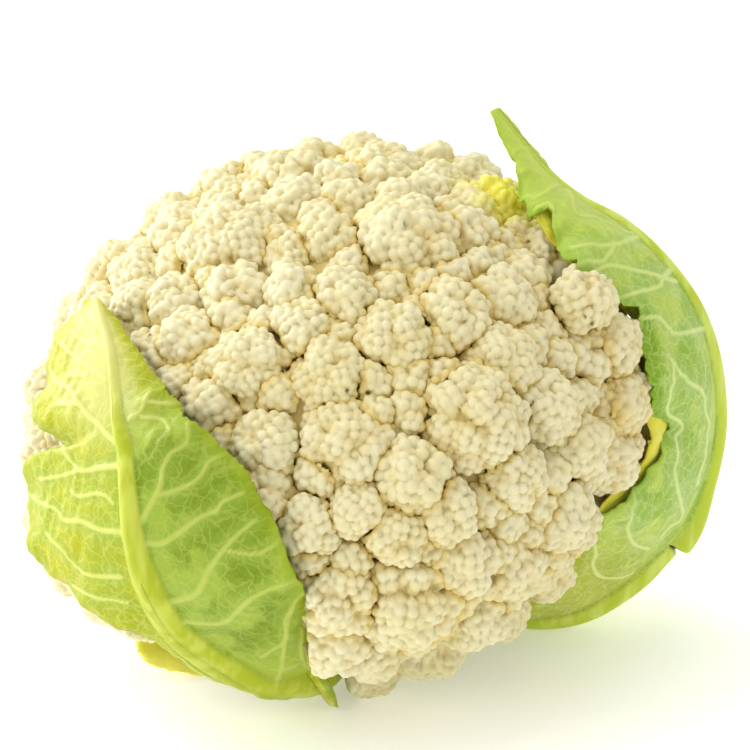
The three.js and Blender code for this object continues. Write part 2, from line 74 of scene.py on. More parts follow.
# Spirals of further florets, each made only where it has room. rim_extra is what the radius gains by the
# rim, sunk is how far a floret lies under the head's surface, spacing is the share of two florets' radii
# that has to lie between their centres, and above_table is the room under it.
SPIRAL_TURN = math.pi * (3 - math.sqrt(5))
SPIRALS = [
    {"count": 150, "radius": 13, "rim_extra": 3.5, "sunk": 0, "spacing": 0.72},
    {"count": 420, "radius": 8.5, "rim_extra": 1, "sunk": 1.5, "spacing": 0.66},
    {"count": 900, "radius": 6.5, "rim_extra": 0.5, "sunk": 3.5, "spacing": 0.52, "above_table": 24},
]
SEED = 2026

# Florets that face the front, placed along a line of sight that slopes down by SIGHT_SLOPE:
# [to the right, up, radius, how far it stands proud].
SIGHT_SLOPE = math.radians(20)
FLORETS = [
    [-19, 72, 10, 2], [-4, 75, 9, 3], [10, 76, 9, 3], [-29, 62, 11, 2], [-10, 62, 13, 1],
    [15, 64, 14, 1], [29, 69, 9, 2], [41, 68, 11, 2], [45, 56, 12], [-43, 52, 14, 1],
    [-23, 41, 17, 2], [-56, 38, 13, 1], [-67, 26, 13], [-50, 29, 10], [-40, 31, 9],
    [21, 41, 18, 3], [1, 48, 9], [36, 47, 12], [33, 26, 12, 1], [18, 20, 12, 1], [5, 31, 10],
    [-5, 24, 9], [-35, 20, 10], [-18, 13, 13, 1], [-29, 3, 10], [-45, 16, 10], [2, 11, 12],
    [46, 31, 10], [54, 43, 13], [71, 32, 12, 2], [65, 18, 14, 1], [45, 15, 12], [57, 4, 11],
    [73, 5, 11, 1], [65, -6, 10], [78, -8, 13, 3], [83, 12, 12, 4], [36, 0, 16, 3], [6, -6, 13],
    [22, -14, 11, 1], [-15, -6, 10], [-16, -19, 10], [-4, -26, 9], [9, -22, 8], [59, -23, 13],
    [48, -14, 10], [20, -42, 17, 2], [4, -43, 13], [34, -35, 12], [38, -50, 12], [47, -37, 11],
    [58, -39, 12], [18, -28, 9], [31, -23, 9], [28, -61, 12], [2, -57, 10], [48, -53, 10],
    [-73, 6, 11], [-73, -10, 11], [-74, -27, 11], [-70, -40, 11], [-57, 12, 11],
    [62, 38, 11, 1], [86, 21, 10, 4], [86, 1, 11, 4], [80, -20, 11, 2], [71, -24, 11],
]
# Florets off the spheroid, as centre and radius: the one that the head leans on in front, the thick
# one that carries it, and those that swell out to the right leaf's edge.
PLACED_FLORETS = [
    [[11, -31, -58.5], 12],
    [[12, -30, -45], 18],
    [[78, -24, 15], 11.5],
    [[76, -23, 30], 10],
    [[75, -26, 0], 12],
    [[69, -28, 45], 9],
]

# Domes: each floret is a cluster of them. Their spacing grows with the floret's radius past
# DOME_USUAL, their radius is a share of the spacing, and the gaps between them go down to DOME_FLOOR,
# a share of the floret's radius.
DOME_SPACING = 8.0
DOME_GROWTH = 0.2
DOME_USUAL = 8
DOME_SHARE = 0.45
DOME_LIFT = 0.9
DOME_FLOOR = 0.8
DOME_UNEVEN = 0.13
DOME_SIZES = [0.86, 1.2]
LARGEST_DOME = 0.7
FEWEST_DOMES = 9

# Beads: each dome is covered in them. Their radius and how far they are sunk are shares of their pitch,
# which varies by floret and by dome. None lies further back than DOME_BACK, or inside other domes.
BEAD_PITCH = 2.9
BEAD_SHARE = 0.555
BEAD_SUNK = 0.13
BEAD_BLEND = 12.0
BEAD_BURIED = 2.5
BEAD_UNEVEN = 0.05
BEAD_ROOM = 0.35
BEAD_SIZES = [0.88, 1.1]
PITCH_BY_FLORET = [0.9, 1.12]
PITCH_BY_DOME = [0.93, 1.08]
DOME_BACK = -0.1
PIT_DEEP = 0.2
CREVICE = 0.35
EVEN_PACKING = 0.866

# Where painted shade lies, a darker yellow: in creases between beads, from CREASE_TOP above the dome
# down, and in gaps between domes, from GAP_TOP below the floret's radius down to a share of it.
CREASE_TOP = 0.75
CREASE_DEEP = 0.9
GAP_TOP = 1.0
GAP_SHARE = 0.16
GAP_STRENGTH = 0.6

# Where a floret is a plain ball instead: where it faces down the stalk, lies low on the head and faces
# away from the eye. Each is the start and the end of a smooth rise.
UNDER_FACING = [0.25, 0.75]
UNDER_DEPTH = [8, 22]
EYE_FACING = [-0.1, 0.3]
UNDER_SHARE = 0.94

# A floret's mesh: a cap of this angle, without what lies deeper than BURIED, and the distances between
# its points where the front shows it, round the rim, behind and under leaves. It is under leaves where
# rays from four places on it, RING_OUT from its middle, all meet a leaf on their way to the eye.
CAP_ANGLE = math.radians(150)
BURIED = 0.6
FRONT_STEP = 0.49
RIM_STEP = 0.66
BACK_STEP = 0.88
COVERED_STEP = 1.2
FILLER_STEP_SCALE = 1.1
RING_OUT = 0.8
FACES_FRONT = 0.05
FACES_BACK = -0.35
LEAF_GAP = 0.5
TABLE_GAP = 0.15
PIECE_TRIANGLES = 185000

# Stain and specks on the curd: how far to the right and up they are seen, and their radius.
STAIN = [50, 64, 19]
STAIN_STRENGTH = 0.85
SPECKS = [
    [21.6, 54.9, 0.7], [56, 50, 0.8], [72, 29, 0.7], [74, 27, 0.8], [75, 25.5, 0.6],
    [-57, 27.8, 0.6], [-50, 23.9, 0.6], [5.4, 8.3, 0.8], [11.2, 7.7, 1.0],
]

# Stalk: a trunk cut level with the table, and branches out to the florets of the rim. The trunk's
# profile is [radius, below the head's centre], and a branch's ends are [below it, out from the line].
TRUNK_PROFILE = [[6, 27], [18, 28], [25.5, 33], [26.5, 40], [22.5, 48], [20, 56], [20, 66]]
BRANCH_COUNT = 9
BRANCH_RADIUS = 7
BRANCH_TAPER = 0.75
BRANCH_INNER = [37, 12]
BRANCH_OUTER = [18, 60]
BRANCH_SWAY = 0.4
BRANCH_RIDGE = 0.35
RIDGE_HIGH = 1.6

# Leaf blades: thickness, the share by which the margin is thinner, and how many steps of the outer
# side's grid the inner side takes in one.
BLADE = 0.95
MARGIN_THINNING = 0.45
COARSE = 3

# Leaf margins: lengths over which the teeth and their swells repeat, and how far they stand out.
TOOTH_PITCH = 3.4
TOOTH_SWAY = 5
TOOTH_HIGH = 1.1
SHORT_SWELL = 3.7
LONG_SWELL = 8.3
SWELL_HIGH = 0.8
SMALL_WAVE = 0.35
SMALL_WAVE_TIMES = 2.7

# Blisters between the veins, as [height, size], and how far a vein's rise follows its half width.
LARGE_BLISTER = [0.3, 9]
SMALL_BLISTER = [0.16, 4.2]
VEIN_RISE = 0.6

# Leaves: each leaf's stations run from its base to its tip: [midrib, left edge, right edge]. The rib's
# half width and height are at the base and at the tip, the bulge is how far each half stands out, the
# ruffle is the height of the margin's waves, and the tooth is the size of its teeth. Nicks are [side,
# share of the length, depth, width], and shaded folds are [side, share of the length, width, where it
# starts on the half], the widths as shares of the length: these change no shape, they only paint the
# margin a darker green there, partly its inner side and partly painted shade.
LEFT_LEAF = {
    "stations": [
        [[13, 8, -58], [7, 11, -57], [19, 5, -57]],
        [[6, -8, -61], [0, -5, -60], [12, -11, -59]],
        [[0, -24, -62], [-6, -21, -62], [7, -28, -59]],
        [[-4, -36, -62], [-7, -34, -65], [2, -41, -57]],
        [[-10, -43, -60], [-12, -41, -65], [-3, -51, -51]],
        [[-18, -48, -57], [-21, -43, -63], [-4, -64, -38]],
        [[-30, -56, -46], [-35, -52, -53], [-5, -82, -19]],
        [[-40, -65, -33], [-48, -59, -40], [-7, -90, -7]],
        [[-46, -73, -17], [-65, -56, -32], [-14, -89, 9]],
        [[-49, -76, -3], [-77, -42, -26], [-20, -84, 18]],
        [[-50, -74, 9], [-82, -34, -13], [-30, -77, 26]],
        [[-51, -69, 17], [-81, -33, 1], [-36, -71, 29]],
        [[-53, -64, 23], [-70, -43, 8], [-40, -65, 32]],
        [[-54, -58, 28], [-78, -33, 14], [-43, -60, 34]],
        [[-56, -48, 37], [-76, -25, 25], [-49, -49, 38]],
        [[-59, -38, 42], [-71, -20, 35], [-55, -38, 42]],
        [[-61, -31, 46], [-64, -27, 45], [-60, -31, 46]],
    ],
    "rib_half": [13, 1.2], "rib_curve": 1.5, "rib_share": 0.97, "rib_high": [6, 0.8], "bulge": [2, 3.5],
    "rib_round": 1.0, "ruffle": 1.3, "waves": 9, "tooth": 0.7,
}
TORN_STRIP = {
    "stations": [
        [[-6, -50, -50], [-9, -49, -50], [-4, -52, -50]],
        [[-2, -50, -57], [-4, -49, -57], [0, -51, -56]],
        [[0, -46, -63], [-2, -45, -63], [2, -47, -62]],
        [[2, -42, -69.2], [1, -41, -69.2], [3, -43, -69.2]],
    ],
    "rib_half": [0.8, 0.5], "rib_high": [0.2, 0.1], "bulge": [0, 0],
    "ruffle": 0, "waves": 1, "tooth": 0.4,
}
RIGHT_LEAF = {
    "stations": [
        [[30, 22, -58], [29, 13, -58], [31, 31, -58]],
        [[44, 17, -62.5], [43, 2, -59], [47, 31, -59]],
        [[58, 13, -64.6], [55, -12, -51], [61, 32, -58]],
        [[72, 12, -63], [62, -20, -42], [74, 36, -55]],
        [[84, 12, -56.5], [67, -26, -30], [84, 40, -50]],
        [[94, 13, -48], [71, -31, -21], [93, 44, -42]],
        [[103, 14, -38], [76, -34, -14], [99, 45, -32]],
        [[108, 14, -23], [86, -28, -9], [103, 45, -20]],
        [[110, 11, -5], [91, -20, 5], [104, 45, -4]],
        [[108, 9, 14], [87, -28, 19], [102, 43, 13]],
        [[102.5, 9, 30], [85, -22, 32], [96, 39, 22]],
        [[93, 10, 43.5], [77, -20, 44], [87, 37, 34]],
        [[82, 12, 53.5], [66, -27, 53], [79, 35, 43]],
        [[70, 14, 60], [62, -18, 59], [68, 29, 53]],
        [[60.5, 15, 68], [55, -8, 64], [63, 22, 64]],
        [[53, 14, 78], [51, 4, 73], [56, 18, 75]],
        [[46.5, 12, 87], [45, 10, 87], [47.5, 13, 87]],
    ],
    "rib_half": [7, 1], "rib_high": [5.5, 0.8], "bulge": [4, 3],
    "rib_round": 0.8, "ruffle": 1.2, "waves": 11, "tooth": 0.8,
    "nicks": [
        [0, 0.845, 6, 0.013], [0, 0.885, 1.6, 0.006], [0, 0.935, 1.2, 0.005], [0, 0.76, 2.5, 0.008],
        [0, 0.655, 3, 0.008], [0, 0.6, 2, 0.006], [0, 0.565, 1.6, 0.005], [0, 0.505, 5, 0.01],
        [0, 0.47, 1.5, 0.006], [1, 0.905, 2, 0.007],
    ],
    "shaded_folds": [[0, 0.62, 0.035, 0.78], [0, 0.545, 0.045, 0.86], [0, 0.855, 0.012, 0.8]],
}
RIGHT_INNER_LEAF = {
    "stations": [
        [[36, 18, -53], [36, 8, -50], [37, 28, -52]],
        [[58, 4, -50], [57, -15, -44], [60, 20, -50]],
        [[73, -2, -38], [63, -29, -30], [75, 18, -38]],
        [[84, -4, -24], [72, -35, -15], [85, 16, -24]],
        [[94, 0, -6], [87, -25, -2], [92, 20, -8]],
        [[96, 0, 8], [88, -23, 9], [93, 20, 8]],
        [[93, 0, 24], [88, -19, 21], [90, 20, 22]],
        [[85, 0, 38], [83, -12, 36], [83, 18, 36]],
        [[73, 0, 50], [69, -18, 49], [72, 16, 49]],
        [[65, 1, 57], [61, -14, 57], [65, 12, 57]],
        [[60, 3, 62], [57, -8, 63], [61, 10, 61]],
    ],
    "rib_half": [5, 1.5], "rib_high": [2.5, 0.5], "bulge": [3, 3],
    "ruffle": 0.4, "waves": 5, "tooth": 0.9,
}
LOW_LEFT_LEAF = {
    "stations": [
        [[6, 19, -60], [5, 24, -58], [8, 13, -59]],
        [[-8, 12, -64], [-10, 18, -61], [-5, 4, -64]],
        [[-20, 5, -66], [-23, 13, -61], [-15, -7, -67]],
        [[-31, -2, -67], [-36, 8, -60], [-25, -17, -68.5]],
        [[-41, -8, -67], [-46, 2, -59], [-35, -21, -69]],
        [[-49, -12, -65], [-52, -3, -60], [-45, -20, -68]],
        [[-54, -15, -64], [-55, -12, -63], [-52, -18, -66]],
    ],
    "rib_half": [4, 1], "rib_high": [2.4, 0.6], "bulge": [1.5, 1],
    "ruffle": 0.4, "waves": 3, "tooth": 0.7,
}

# Cut bases of trimmed leaves: degrees round the stalk from its uphill side, and the midrib's course as
# [below the head's centre, out from the stalk's line].
STUB_HALF_WIDTH = 9
STUB_CURL = 3
STUBS = [
    {"angle": 116, "course": [[62, 14], [63, 28], [62, 41], [58, 52]]},
    {"angle": 62, "course": [[62, 14], [61, 27], [56, 40], [47, 50]]},
    {"angle": 8, "course": [[60, 14], [60, 26], [54, 38], [44, 47]]},
]
STUB_FORM = {
    "blade": 2.2, "rib_half": [7, 6], "rib_high": [5, 4], "bulge": [0, 0],
    "ruffle": 0, "waves": 1, "tooth": 0,
}

# Main veins that the front shows: [half width, places to the right and up as the camera sees them].
LEFT_LEAF_VEINS = [
    [1.1, [[-52, -28], [-49, -23], [-46.5, -18], [-46, -13.5], [-44, -9.5], [-40.5, -7.5], [-39, -5],
           [-39, -0.5]]],
    [0.8, [[-46.5, -20.5], [-43, -19.5], [-36.5, -17], [-33, -12], [-28, -9.5]]],
    [1.1, [[-50.5, -34], [-46, -34], [-40.5, -30.5], [-36, -27], [-31.5, -25], [-29, -22.5], [-23.5, -20]]],
    [1.3, [[-46, -50.5], [-37, -48], [-33, -41], [-28, -34.5], [-23.5, -30.5], [-20, -27]]],
    [0.5, [[-29, -36], [-21, -37], [-16, -35.5], [-12.5, -33]]],
    [0.8, [[-55, 0], [-52, 2.5], [-49.5, 7.5]]],
    [0.7, [[-52, 1], [-46, 0], [-44, -3]]],
    [0.5, [[-49.5, 5], [-41.5, 4.5]]],
    [1.0, [[-59, -13], [-63, -13.5], [-69, -13.5], [-73, -9], [-76, -6]]],
    [0.6, [[-69, -14], [-74.5, -15.5], [-80, -16]]],
    [1.0, [[-59.5, -31], [-63, -30.5], [-68.5, -28.5], [-73.5, -27.5], [-76, -24.5], [-80.5, -23],
           [-83.5, -20.5]]],
    [0.9, [[-57.5, -43.5], [-63, -43.5], [-68, -42], [-71.5, -39], [-73.5, -36], [-78.5, -31.5]]],
    [0.6, [[-59.5, -23], [-61.5, -21], [-64.5, -20.5], [-69, -21], [-71.5, -19.5]]],
    [1.0, [[-60, -5], [-63, -2], [-67, 1.5], [-69, 4.5], [-72, 8.5], [-75.5, 10.5], [-77, 14]]],
    [0.5, [[-68.5, 4.5], [-75.5, 4.5]]],
    [0.7, [[-61.5, 11.5], [-66.5, 15], [-69.5, 17], [-72, 19.5], [-74.5, 22]]],
    [0.4, [[-67, 12.5], [-72, 12.5]]],
    [0.5, [[-64.5, 24.5], [-69, 29]]],
    [0.5, [[-61.5, 20], [-67, 21.5], [-71.5, 25.5]]],
    [1.2, [[-41, -55.5], [-29.5, -56], [-20.5, -49], [-8.5, -44]]],
    [0.8, [[-18.5, -65.5], [-12, -60.5], [-11.5, -55], [-7, -47.5]]],
    [0.6, [[-15, -69], [-5.5, -65]]],
    [0.6, [[-55.5, -50.5], [-65, -49], [-71, -46]]],
]
RIGHT_LEAF_VEINS = [
    [1.0, [[85.5, 51], [82.5, 49.5], [79.5, 49], [74, 49], [68, 47.5]]],
    [1.0, [[94, 39.5], [89, 41], [83, 42.5], [78.5, 43], [75, 42], [70, 39.5]]],
    [1.0, [[93.5, 39.5], [92, 37.5], [87, 36], [81.5, 34.5]]],
    [0.9, [[104.5, 25.5], [98.5, 24], [95, 25.5], [92, 29], [85.5, 29]]],
    [0.5, [[80, 49], [77.5, 45.5], [76.5, 44.5], [73, 44.5], [68.5, 43]]],
    [0.9, [[65.5, 65], [68.5, 59], [75, 56.5], [82, 53], [87, 51]]],
    [0.6, [[65.5, 65], [61, 63.5], [56, 62.5]]],
    [0.6, [[63.5, 66.5], [59.5, 68.5], [56, 70], [52.5, 68.5]]],
    [0.5, [[63, 59], [60, 59.5], [58, 58]]],
    [0.5, [[56.5, 75], [52.5, 75.5], [51, 73]]],
    [1.0, [[103.5, -14.5], [105, -8.5], [105.5, 1.5], [104, 8], [100, 11.5], [95, 18]]],
    [1.0, [[95, -29.5], [98.5, -26], [97, -18], [97, -6.5], [95, 5], [96, 16.5]]],
    [0.7, [[89.5, -35.5], [85, -34], [84, -28.5], [85, -20]]],
    [0.7, [[85, -42.5], [77, -43.5], [74, -40], [74, -33]]],
]

# Veins: the share of their width left at their end, the narrowest half width, from which half width
# one starts nearer the midrib and by how much, and the distance between samples along one. The pale
# zone beside a vein reaches ZONE_LEAST and ZONE_TIMES its half width, in full from ZONE_FULL on.
VEIN_TAPER = 0.45
FINEST_VEIN = 0.66
MAIN_VEIN = 1.0
MAIN_VEIN_START = 3.0
VEIN_SAMPLE = 0.35
VEIN_SMOOTHING = 4
ZONE_LEAST = 1.5
ZONE_TIMES = 3
ZONE_FULL = 0.8

# Veins by rule: how far one sweeps towards the tip and its fork turns, as shares of the leaf's length,
# how far across the half it and its fork reach, and where the fork starts.
SWEEP = [0.09, 0.14]
SWEEP_CURVE = 1.3
VEIN_REACH = 0.93
FORK_REACH = 0.92
FORK_AT = [0.35, 0.55]
FORK_TURN = 0.07
FORK_WIDTH = 0.6
VEIN_SWAY = 0.012

# Where the right leaf's midrib snapped, as a share of its length, how far its upper end stands out,
# and how deep and how wide the groove is, the width as a share of the leaf's length.
CRACK_AT = 0.345
CRACK_STEP = 1.6
CRACK_DEEP = 2.6
CRACK_WIDE = 0.0035
CRACK_SLANT = 0.006

# Leaf colours, as 0 to 255 on screen. The right half has the left one's where it isn't given. The green
# leaf's left half and its veins are lighter and yellower than the right: painted light from behind it.
GREEN_LOOKS = {
    "left": (178, 179, 0), "left_deep": (160, 170, 0), "right": (148, 170, 50),
    "right_deep": (112, 138, 0), "bloom": (150, 176, 66), "tip": (218, 214, 132),
    "vein_left": (210, 214, 112), "vein_right": (180, 191, 88), "rib": (172, 184, 38),
    "rib_pale": (196, 204, 80), "edge": (146, 160, 0), "fold_inner_and_shade": (116, 146, 0), "base": (166, 180, 30),
}
COOL_GREEN_LOOKS = {
    "left": (182, 203, 84), "left_deep": (146, 180, 54), "right": (184, 204, 70),
    "right_deep": (164, 192, 50), "bloom": (164, 194, 112), "tip": (200, 214, 92),
    "vein_left": (216, 229, 144), "rib": (192, 208, 66), "rib_pale": (214, 226, 112),
    "edge": (128, 166, 14), "fold_inner_and_shade": (112, 154, 0), "base": (176, 180, 52),
}
YELLOW_LOOKS = {
    "left": (238, 230, 80), "left_deep": (222, 216, 50), "bloom": (240, 234, 104),
    "tip": (240, 234, 96), "vein_left": (234, 228, 110), "rib": (224, 218, 80),
    "rib_pale": (232, 226, 110), "edge": (198, 188, 10), "fold_inner_and_shade": (198, 188, 10),
    "base": (230, 224, 84),
}
# A lighter copy of the yellow leaf's colours: painted light on the low left leaf, which lies in shade under
# the left leaf.
LIT_YELLOW_LOOKS = {
    **YELLOW_LOOKS, "left": (255, 250, 128), "left_deep": (252, 244, 104), "bloom": (255, 250, 140),
    "edge": (230, 222, 60),
}

# Camera: what it aims at, its distance from that, and how wide the picture is there.
CAMERA_TARGET = np.array([13.2, 0, 13.5])
CAMERA_DISTANCE = 900
FRAME_WIDTH = 210
SENSOR_WIDTH = 36

# Studio, in metres: a white floor and three soft lamps, all aimed at the middle of the head.
FLOOR_HALF = 4.0
FLOOR_DROP = 0.0002
FLOOR_GLOW = 0.25
SKY_COLOUR = (1.0, 0.995, 0.98, 1)
SKY_STRENGTH = 0.78
LAMPS_AIM = (0, 0, 0.07)
LAMPS = [
    {"name": "softbox_top", "place": (-0.2, 0.1, 1.1), "size": 1.2, "power": 4.2,
     "colour": (1.0, 0.99, 0.97)},
    {"name": "softbox_left", "place": (-0.9, -0.5, 0.6), "size": 0.6, "power": 2.5,
     "colour": (1.0, 0.99, 0.97)},
    {"name": "softbox_back", "place": (-0.8, 0.5, 0.35), "size": 0.6, "power": 7,
     "colour": (1.0, 1.0, 0.98)},
]


def random_numbers(seed):
    """The same seeded numbers from 0 to 1 on every run."""
    state = seed
    while True:
        state = (state + 0x6D2B79F5) & 0xFFFFFFFF
        mixed = ((state ^ (state >> 15)) * (1 | state)) & 0xFFFFFFFF
        mixed = ((mixed + (mixed ^ (mixed >> 7)) * (61 | mixed)) ^ mixed) & 0xFFFFFFFF
        yield ((mixed ^ (mixed >> 14)) & 0xFFFFFFFF) / 4294967296


def unit(v):
    """Vectors drawn to length one."""
    return v / np.linalg.norm(v, axis=-1, keepdims=True)


def ramp(low, high, x):
    """0 below low, 1 above high, and a smooth rise between."""
    t = np.clip((x - low) / (high - low), 0, 1)
    return t * t * (3 - 2 * t)


def turned_from(first, second, turn):
    """Directions at angles from a first direction, turned towards a second one square to it."""
    return np.cos(turn)[..., None] * first + np.sin(turn)[..., None] * second


def round_stalk(below, out, angle):
    """A point so far below the head's centre along the stalk, and so far out at an angle round it."""
    return -below * TO_TOP + out * math.cos(angle) * UPHILL + out * math.sin(angle) * BACK_LEFT


def head_measure(p, inset=0.0):
    """Points in the measure where the head, drawn in by inset, is a ball of radius one."""
    radius = HEAD_RADIUS - inset
    along = np.asarray(p @ TO_TOP)[..., None]
    return p / radius + TO_TOP * (along / (HEAD_HALF_HEIGHT - inset) - along / radius)


def head_normal(p):
    """The head's outward direction at points."""
    along = np.asarray(p @ TO_TOP)[..., None]
    flat = (p - along * TO_TOP) / HEAD_RADIUS ** 2
    return unit(flat + along * TO_TOP / HEAD_HALF_HEIGHT ** 2)


SIGHT_UP = np.array([0, math.sin(SIGHT_SLOPE), math.cos(SIGHT_SLOPE)])
TO_EYE = np.array([0, -math.cos(SIGHT_SLOPE), math.sin(SIGHT_SLOPE)])


def on_line_of_sight(right, up, inset):
    """Where the line of sight through (right, up) meets the head drawn in by inset, or its rim there."""
    start = np.array([right, 0.0, 0.0]) + up * SIGHT_UP
    origin = head_measure(start, inset)
    step = head_measure(TO_EYE, inset)
    a = step @ step
    b = origin @ step
    inside = b * b - a * (origin @ origin - 1)
    if inside >= 0:
        return start + TO_EYE * (-b + math.sqrt(inside)) / a
    start = start - TO_EYE * b / a
    return start / np.linalg.norm(head_measure(start, inset))


def floret_spots():
    """Every floret's centre, as rows, and its radius."""
    centres = []
    radii = []
    for right, up, radius, *proud in FLORETS:
        centre = on_line_of_sight(right, up, radius)
        centres.append(centre + head_normal(centre) * (proud[0] if proud else 0))
        radii.append(radius)
    for place, radius in PLACED_FLORETS:
        centres.append(np.array(place, float))
        radii.append(radius)
    random = random_numbers(SEED)
    for spiral in SPIRALS:
        for i in range(spiral["count"]):
            from_top = math.acos(1 - 2 * (i + 0.5) / spiral["count"])
            growth = spiral["rim_extra"] * from_top / RIM_ANGLE
            radius = spiral["radius"] + growth + 2 * (next(random) - 0.5)
            inset = radius + spiral["sunk"]
            below = -(HEAD_HALF_HEIGHT - inset) * math.cos(from_top)
            out = (HEAD_RADIUS - inset) * math.sin(from_top)
            centre = round_stalk(below, out, i * SPIRAL_TURN)
            room = spiral["spacing"] * (np.array(radii) + radius)
            crowded = (np.linalg.norm(np.array(centres) - centre, axis=1) < room).any()
            low = centre[2] - radius < TABLE + spiral.get("above_table", RIM_ABOVE_TABLE)
            if from_top < RIM_ANGLE and not low and not crowded:
                centres.append(centre)
                radii.append(radius)
    return np.array(centres), np.array(radii, float)


def wobble(p, wavelength, seed):
    """A smooth, even noise from about -1 to 1 at points."""
    waves = 9
    random = np.random.default_rng(seed)
    total = np.zeros(p.shape[:-1])
    for direction in unit(random.normal(size=(waves, 3))):
        pitch = 2 * math.pi / (wavelength * random.uniform(0.7, 1.4))
        total = total + np.sin(p @ direction * pitch + random.uniform(0, 6.3))
    return total / 4


def sphere_directions(count, random, unevenness):
    """Directions spread evenly all round, turned at random, each shifted by some of its room."""
    k = np.arange(count) + 0.5
    up = 1 - 2 * k / count
    out = np.sqrt(1 - up * up)
    turn = k * SPIRAL_TURN
    even = np.stack([out * np.cos(turn), out * np.sin(turn), up], axis=1)
    basis = np.linalg.qr(random.normal(size=(3, 3)))[0]
    shift = unevenness * math.sqrt(4 * math.pi / count)
    return unit(even @ basis + shift * random.normal(size=(count, 3)))


def reach_over(directions, centres, radii):
    """How far each ball's surface lies along each direction from the origin, or nothing if missed."""
    along = directions @ centres.T
    inside = along * along - (centres * centres).sum(axis=1) + radii ** 2
    return np.where((inside > 0) & (along > 0), along + np.sqrt(np.maximum(inside, 0)), 0.0)


def bead_beside_bead(directions, centres, radii):
    """How far the surface of many beads, run softly into each other, lies along each direction."""
    at_once = 2000
    total = np.empty(len(directions))
    for start in range(0, len(directions), at_once):
        reach = reach_over(directions[start:start + at_once].astype(np.float32), centres, radii)
        highest = reach.max(axis=1)
        blend = np.exp(BEAD_BLEND * (reach - highest[:, None])).sum(axis=1)
        total[start:start + at_once] = highest + np.log(blend) / BEAD_BLEND * (highest > 0)
    return total


def depth_in_others(places, which, centres, radii):
    """How deep places lie in the nearest other floret, below nought where they lie clear of all."""
    clear_of_all = -100.0
    near = 4
    depth = np.full(len(places), clear_of_all)
    apart = np.linalg.norm(centres - centres[which], axis=1)
    for other in np.nonzero(apart < radii + radii[which] + near)[0]:
        if other != which:
            depth = np.maximum(depth, radii[other] - np.linalg.norm(places - centres[other], axis=1))
    return depth


def bead_spots(centre, domes, dome_radii, which, centres, radii, random):
    """The beads on one floret's domes, from its centre, and their radii."""
    spots = []
    sizes = []
    usual = BEAD_PITCH * random.uniform(*PITCH_BY_FLORET)
    for dome, size in zip(domes, dome_radii):
        pitch = usual * random.uniform(*PITCH_BY_DOME)
        sunk = BEAD_SUNK * pitch
        count = round(4 * math.pi * size ** 2 / (EVEN_PACKING * pitch ** 2))
        spread = sphere_directions(count, random, BEAD_UNEVEN)
        spread = spread[spread @ unit(dome) > DOME_BACK]
        beads = dome + spread * (size - sunk)
        apart = np.linalg.norm(beads[:, None] - domes[None], axis=2)
        clear = (apart > dome_radii - sunk - BEAD_ROOM).all(axis=1)
        clear &= depth_in_others(centre + beads, which, centres, radii) < BEAD_BURIED
        spots.append(beads[clear])
        sizes.append(BEAD_SHARE * pitch * random.uniform(*BEAD_SIZES, clear.sum()))
    return np.vstack(spots), np.concatenate(sizes)


def cap_grid(count):
    """Unit directions on a cap round +Z as an even square grid, and its faces with a fan at the back."""
    steps = np.linspace(-1, 1, count + 1)
    a, b = np.meshgrid(steps, steps, indexing="ij")
    wide = np.abs(a) > np.abs(b)
    safe_a = np.where(a == 0, 1, a)
    safe_b = np.where(b == 0, 1, b)
    out = np.where(wide, a, b)
    turn = np.where(wide, math.pi / 4 * b / safe_a, math.pi / 2 - math.pi / 4 * a / safe_b)
    polar = 2 * np.arcsin(out * math.sin(CAP_ANGLE / 2))
    grid = np.stack([np.sin(polar) * np.cos(turn), np.sin(polar) * np.sin(turn), np.cos(polar)], axis=-1)
    directions = np.vstack([grid.reshape(-1, 3), [[0, 0, -1]]])
    index = np.arange((count + 1) ** 2).reshape(count + 1, count + 1).T
    border = grid_border(index)
    back = np.full(len(border), len(directions) - 1)
    fan = np.stack([np.roll(border, -1), border, back], axis=1)
    return directions, grid_faces(index), fan


def open_edges(quads, fans, count):
    """The directed edges that belong to one face only."""
    edges = [quads[:, [k, (k + 1) % 4]] for k in range(4)] + [fans[:, [k, (k + 1) % 3]] for k in range(3)]
    edges = np.vstack(edges)
    code = edges[:, 0] * count + edges[:, 1]
    back = edges[:, 1] * count + edges[:, 0]
    return edges[~np.isin(code, back)]


def shown_cap(which, centres, radii, step):
    """The part of a floret that shows, as directions and their depths in other florets, and the faces
    that close it with a cone to the floret's centre, which comes last. Nothing where none shows."""
    centre = centres[which]
    radius = radii[which]
    outward = head_normal(centre)
    side = unit(np.cross(outward, TO_TOP + 0.01))
    turned = np.stack([side, np.cross(outward, side), outward])
    area = 2 * math.pi * radius ** 2 * (1 - math.cos(CAP_ANGLE))
    grid, quads, fan = cap_grid(int(math.sqrt(area) / step))
    directions = grid @ turned
    places = centre + radius * directions
    depth = depth_in_others(places, which, centres, radii)
    in_core = np.linalg.norm(head_measure(places), axis=1) < CORE_SCALE - CORE_MARGIN
    buried = (depth > BURIED) | (in_core & above_floor(places, BURIED))
    quads = quads[~buried[quads].all(axis=1)]
    fan = fan[~buried[fan].all(axis=1)]
    if len(quads) == 0:
        return None
    apex = len(grid)
    rim = open_edges(quads, fan, apex + 1)
    cone = np.stack([rim[:, 1], rim[:, 0], np.full(len(rim), apex)], axis=1)
    triangles = np.vstack([fan, cone])
    used = np.unique(np.concatenate([quads.ravel(), triangles.ravel()]))
    new = np.zeros(apex + 1, int)
    new[used] = np.arange(len(used))
    kept = used[used < apex]
    return directions[kept], depth[kept], new[quads], new[triangles]


def floret_domes(radius, random):
    """The domes of a floret, from its centre, and their radii."""
    spacing = DOME_SPACING + DOME_GROWTH * (radius - DOME_USUAL)
    count = max(FEWEST_DOMES, round(4 * math.pi * (radius / spacing) ** 2 / EVEN_PACKING))
    sizes = np.minimum(DOME_SHARE * spacing * random.uniform(*DOME_SIZES, count), LARGEST_DOME * radius)
    out = radius - sizes + DOME_LIFT * random.uniform(-1, 1, count)
    return sphere_directions(count, random, DOME_UNEVEN) * out[:, None], sizes


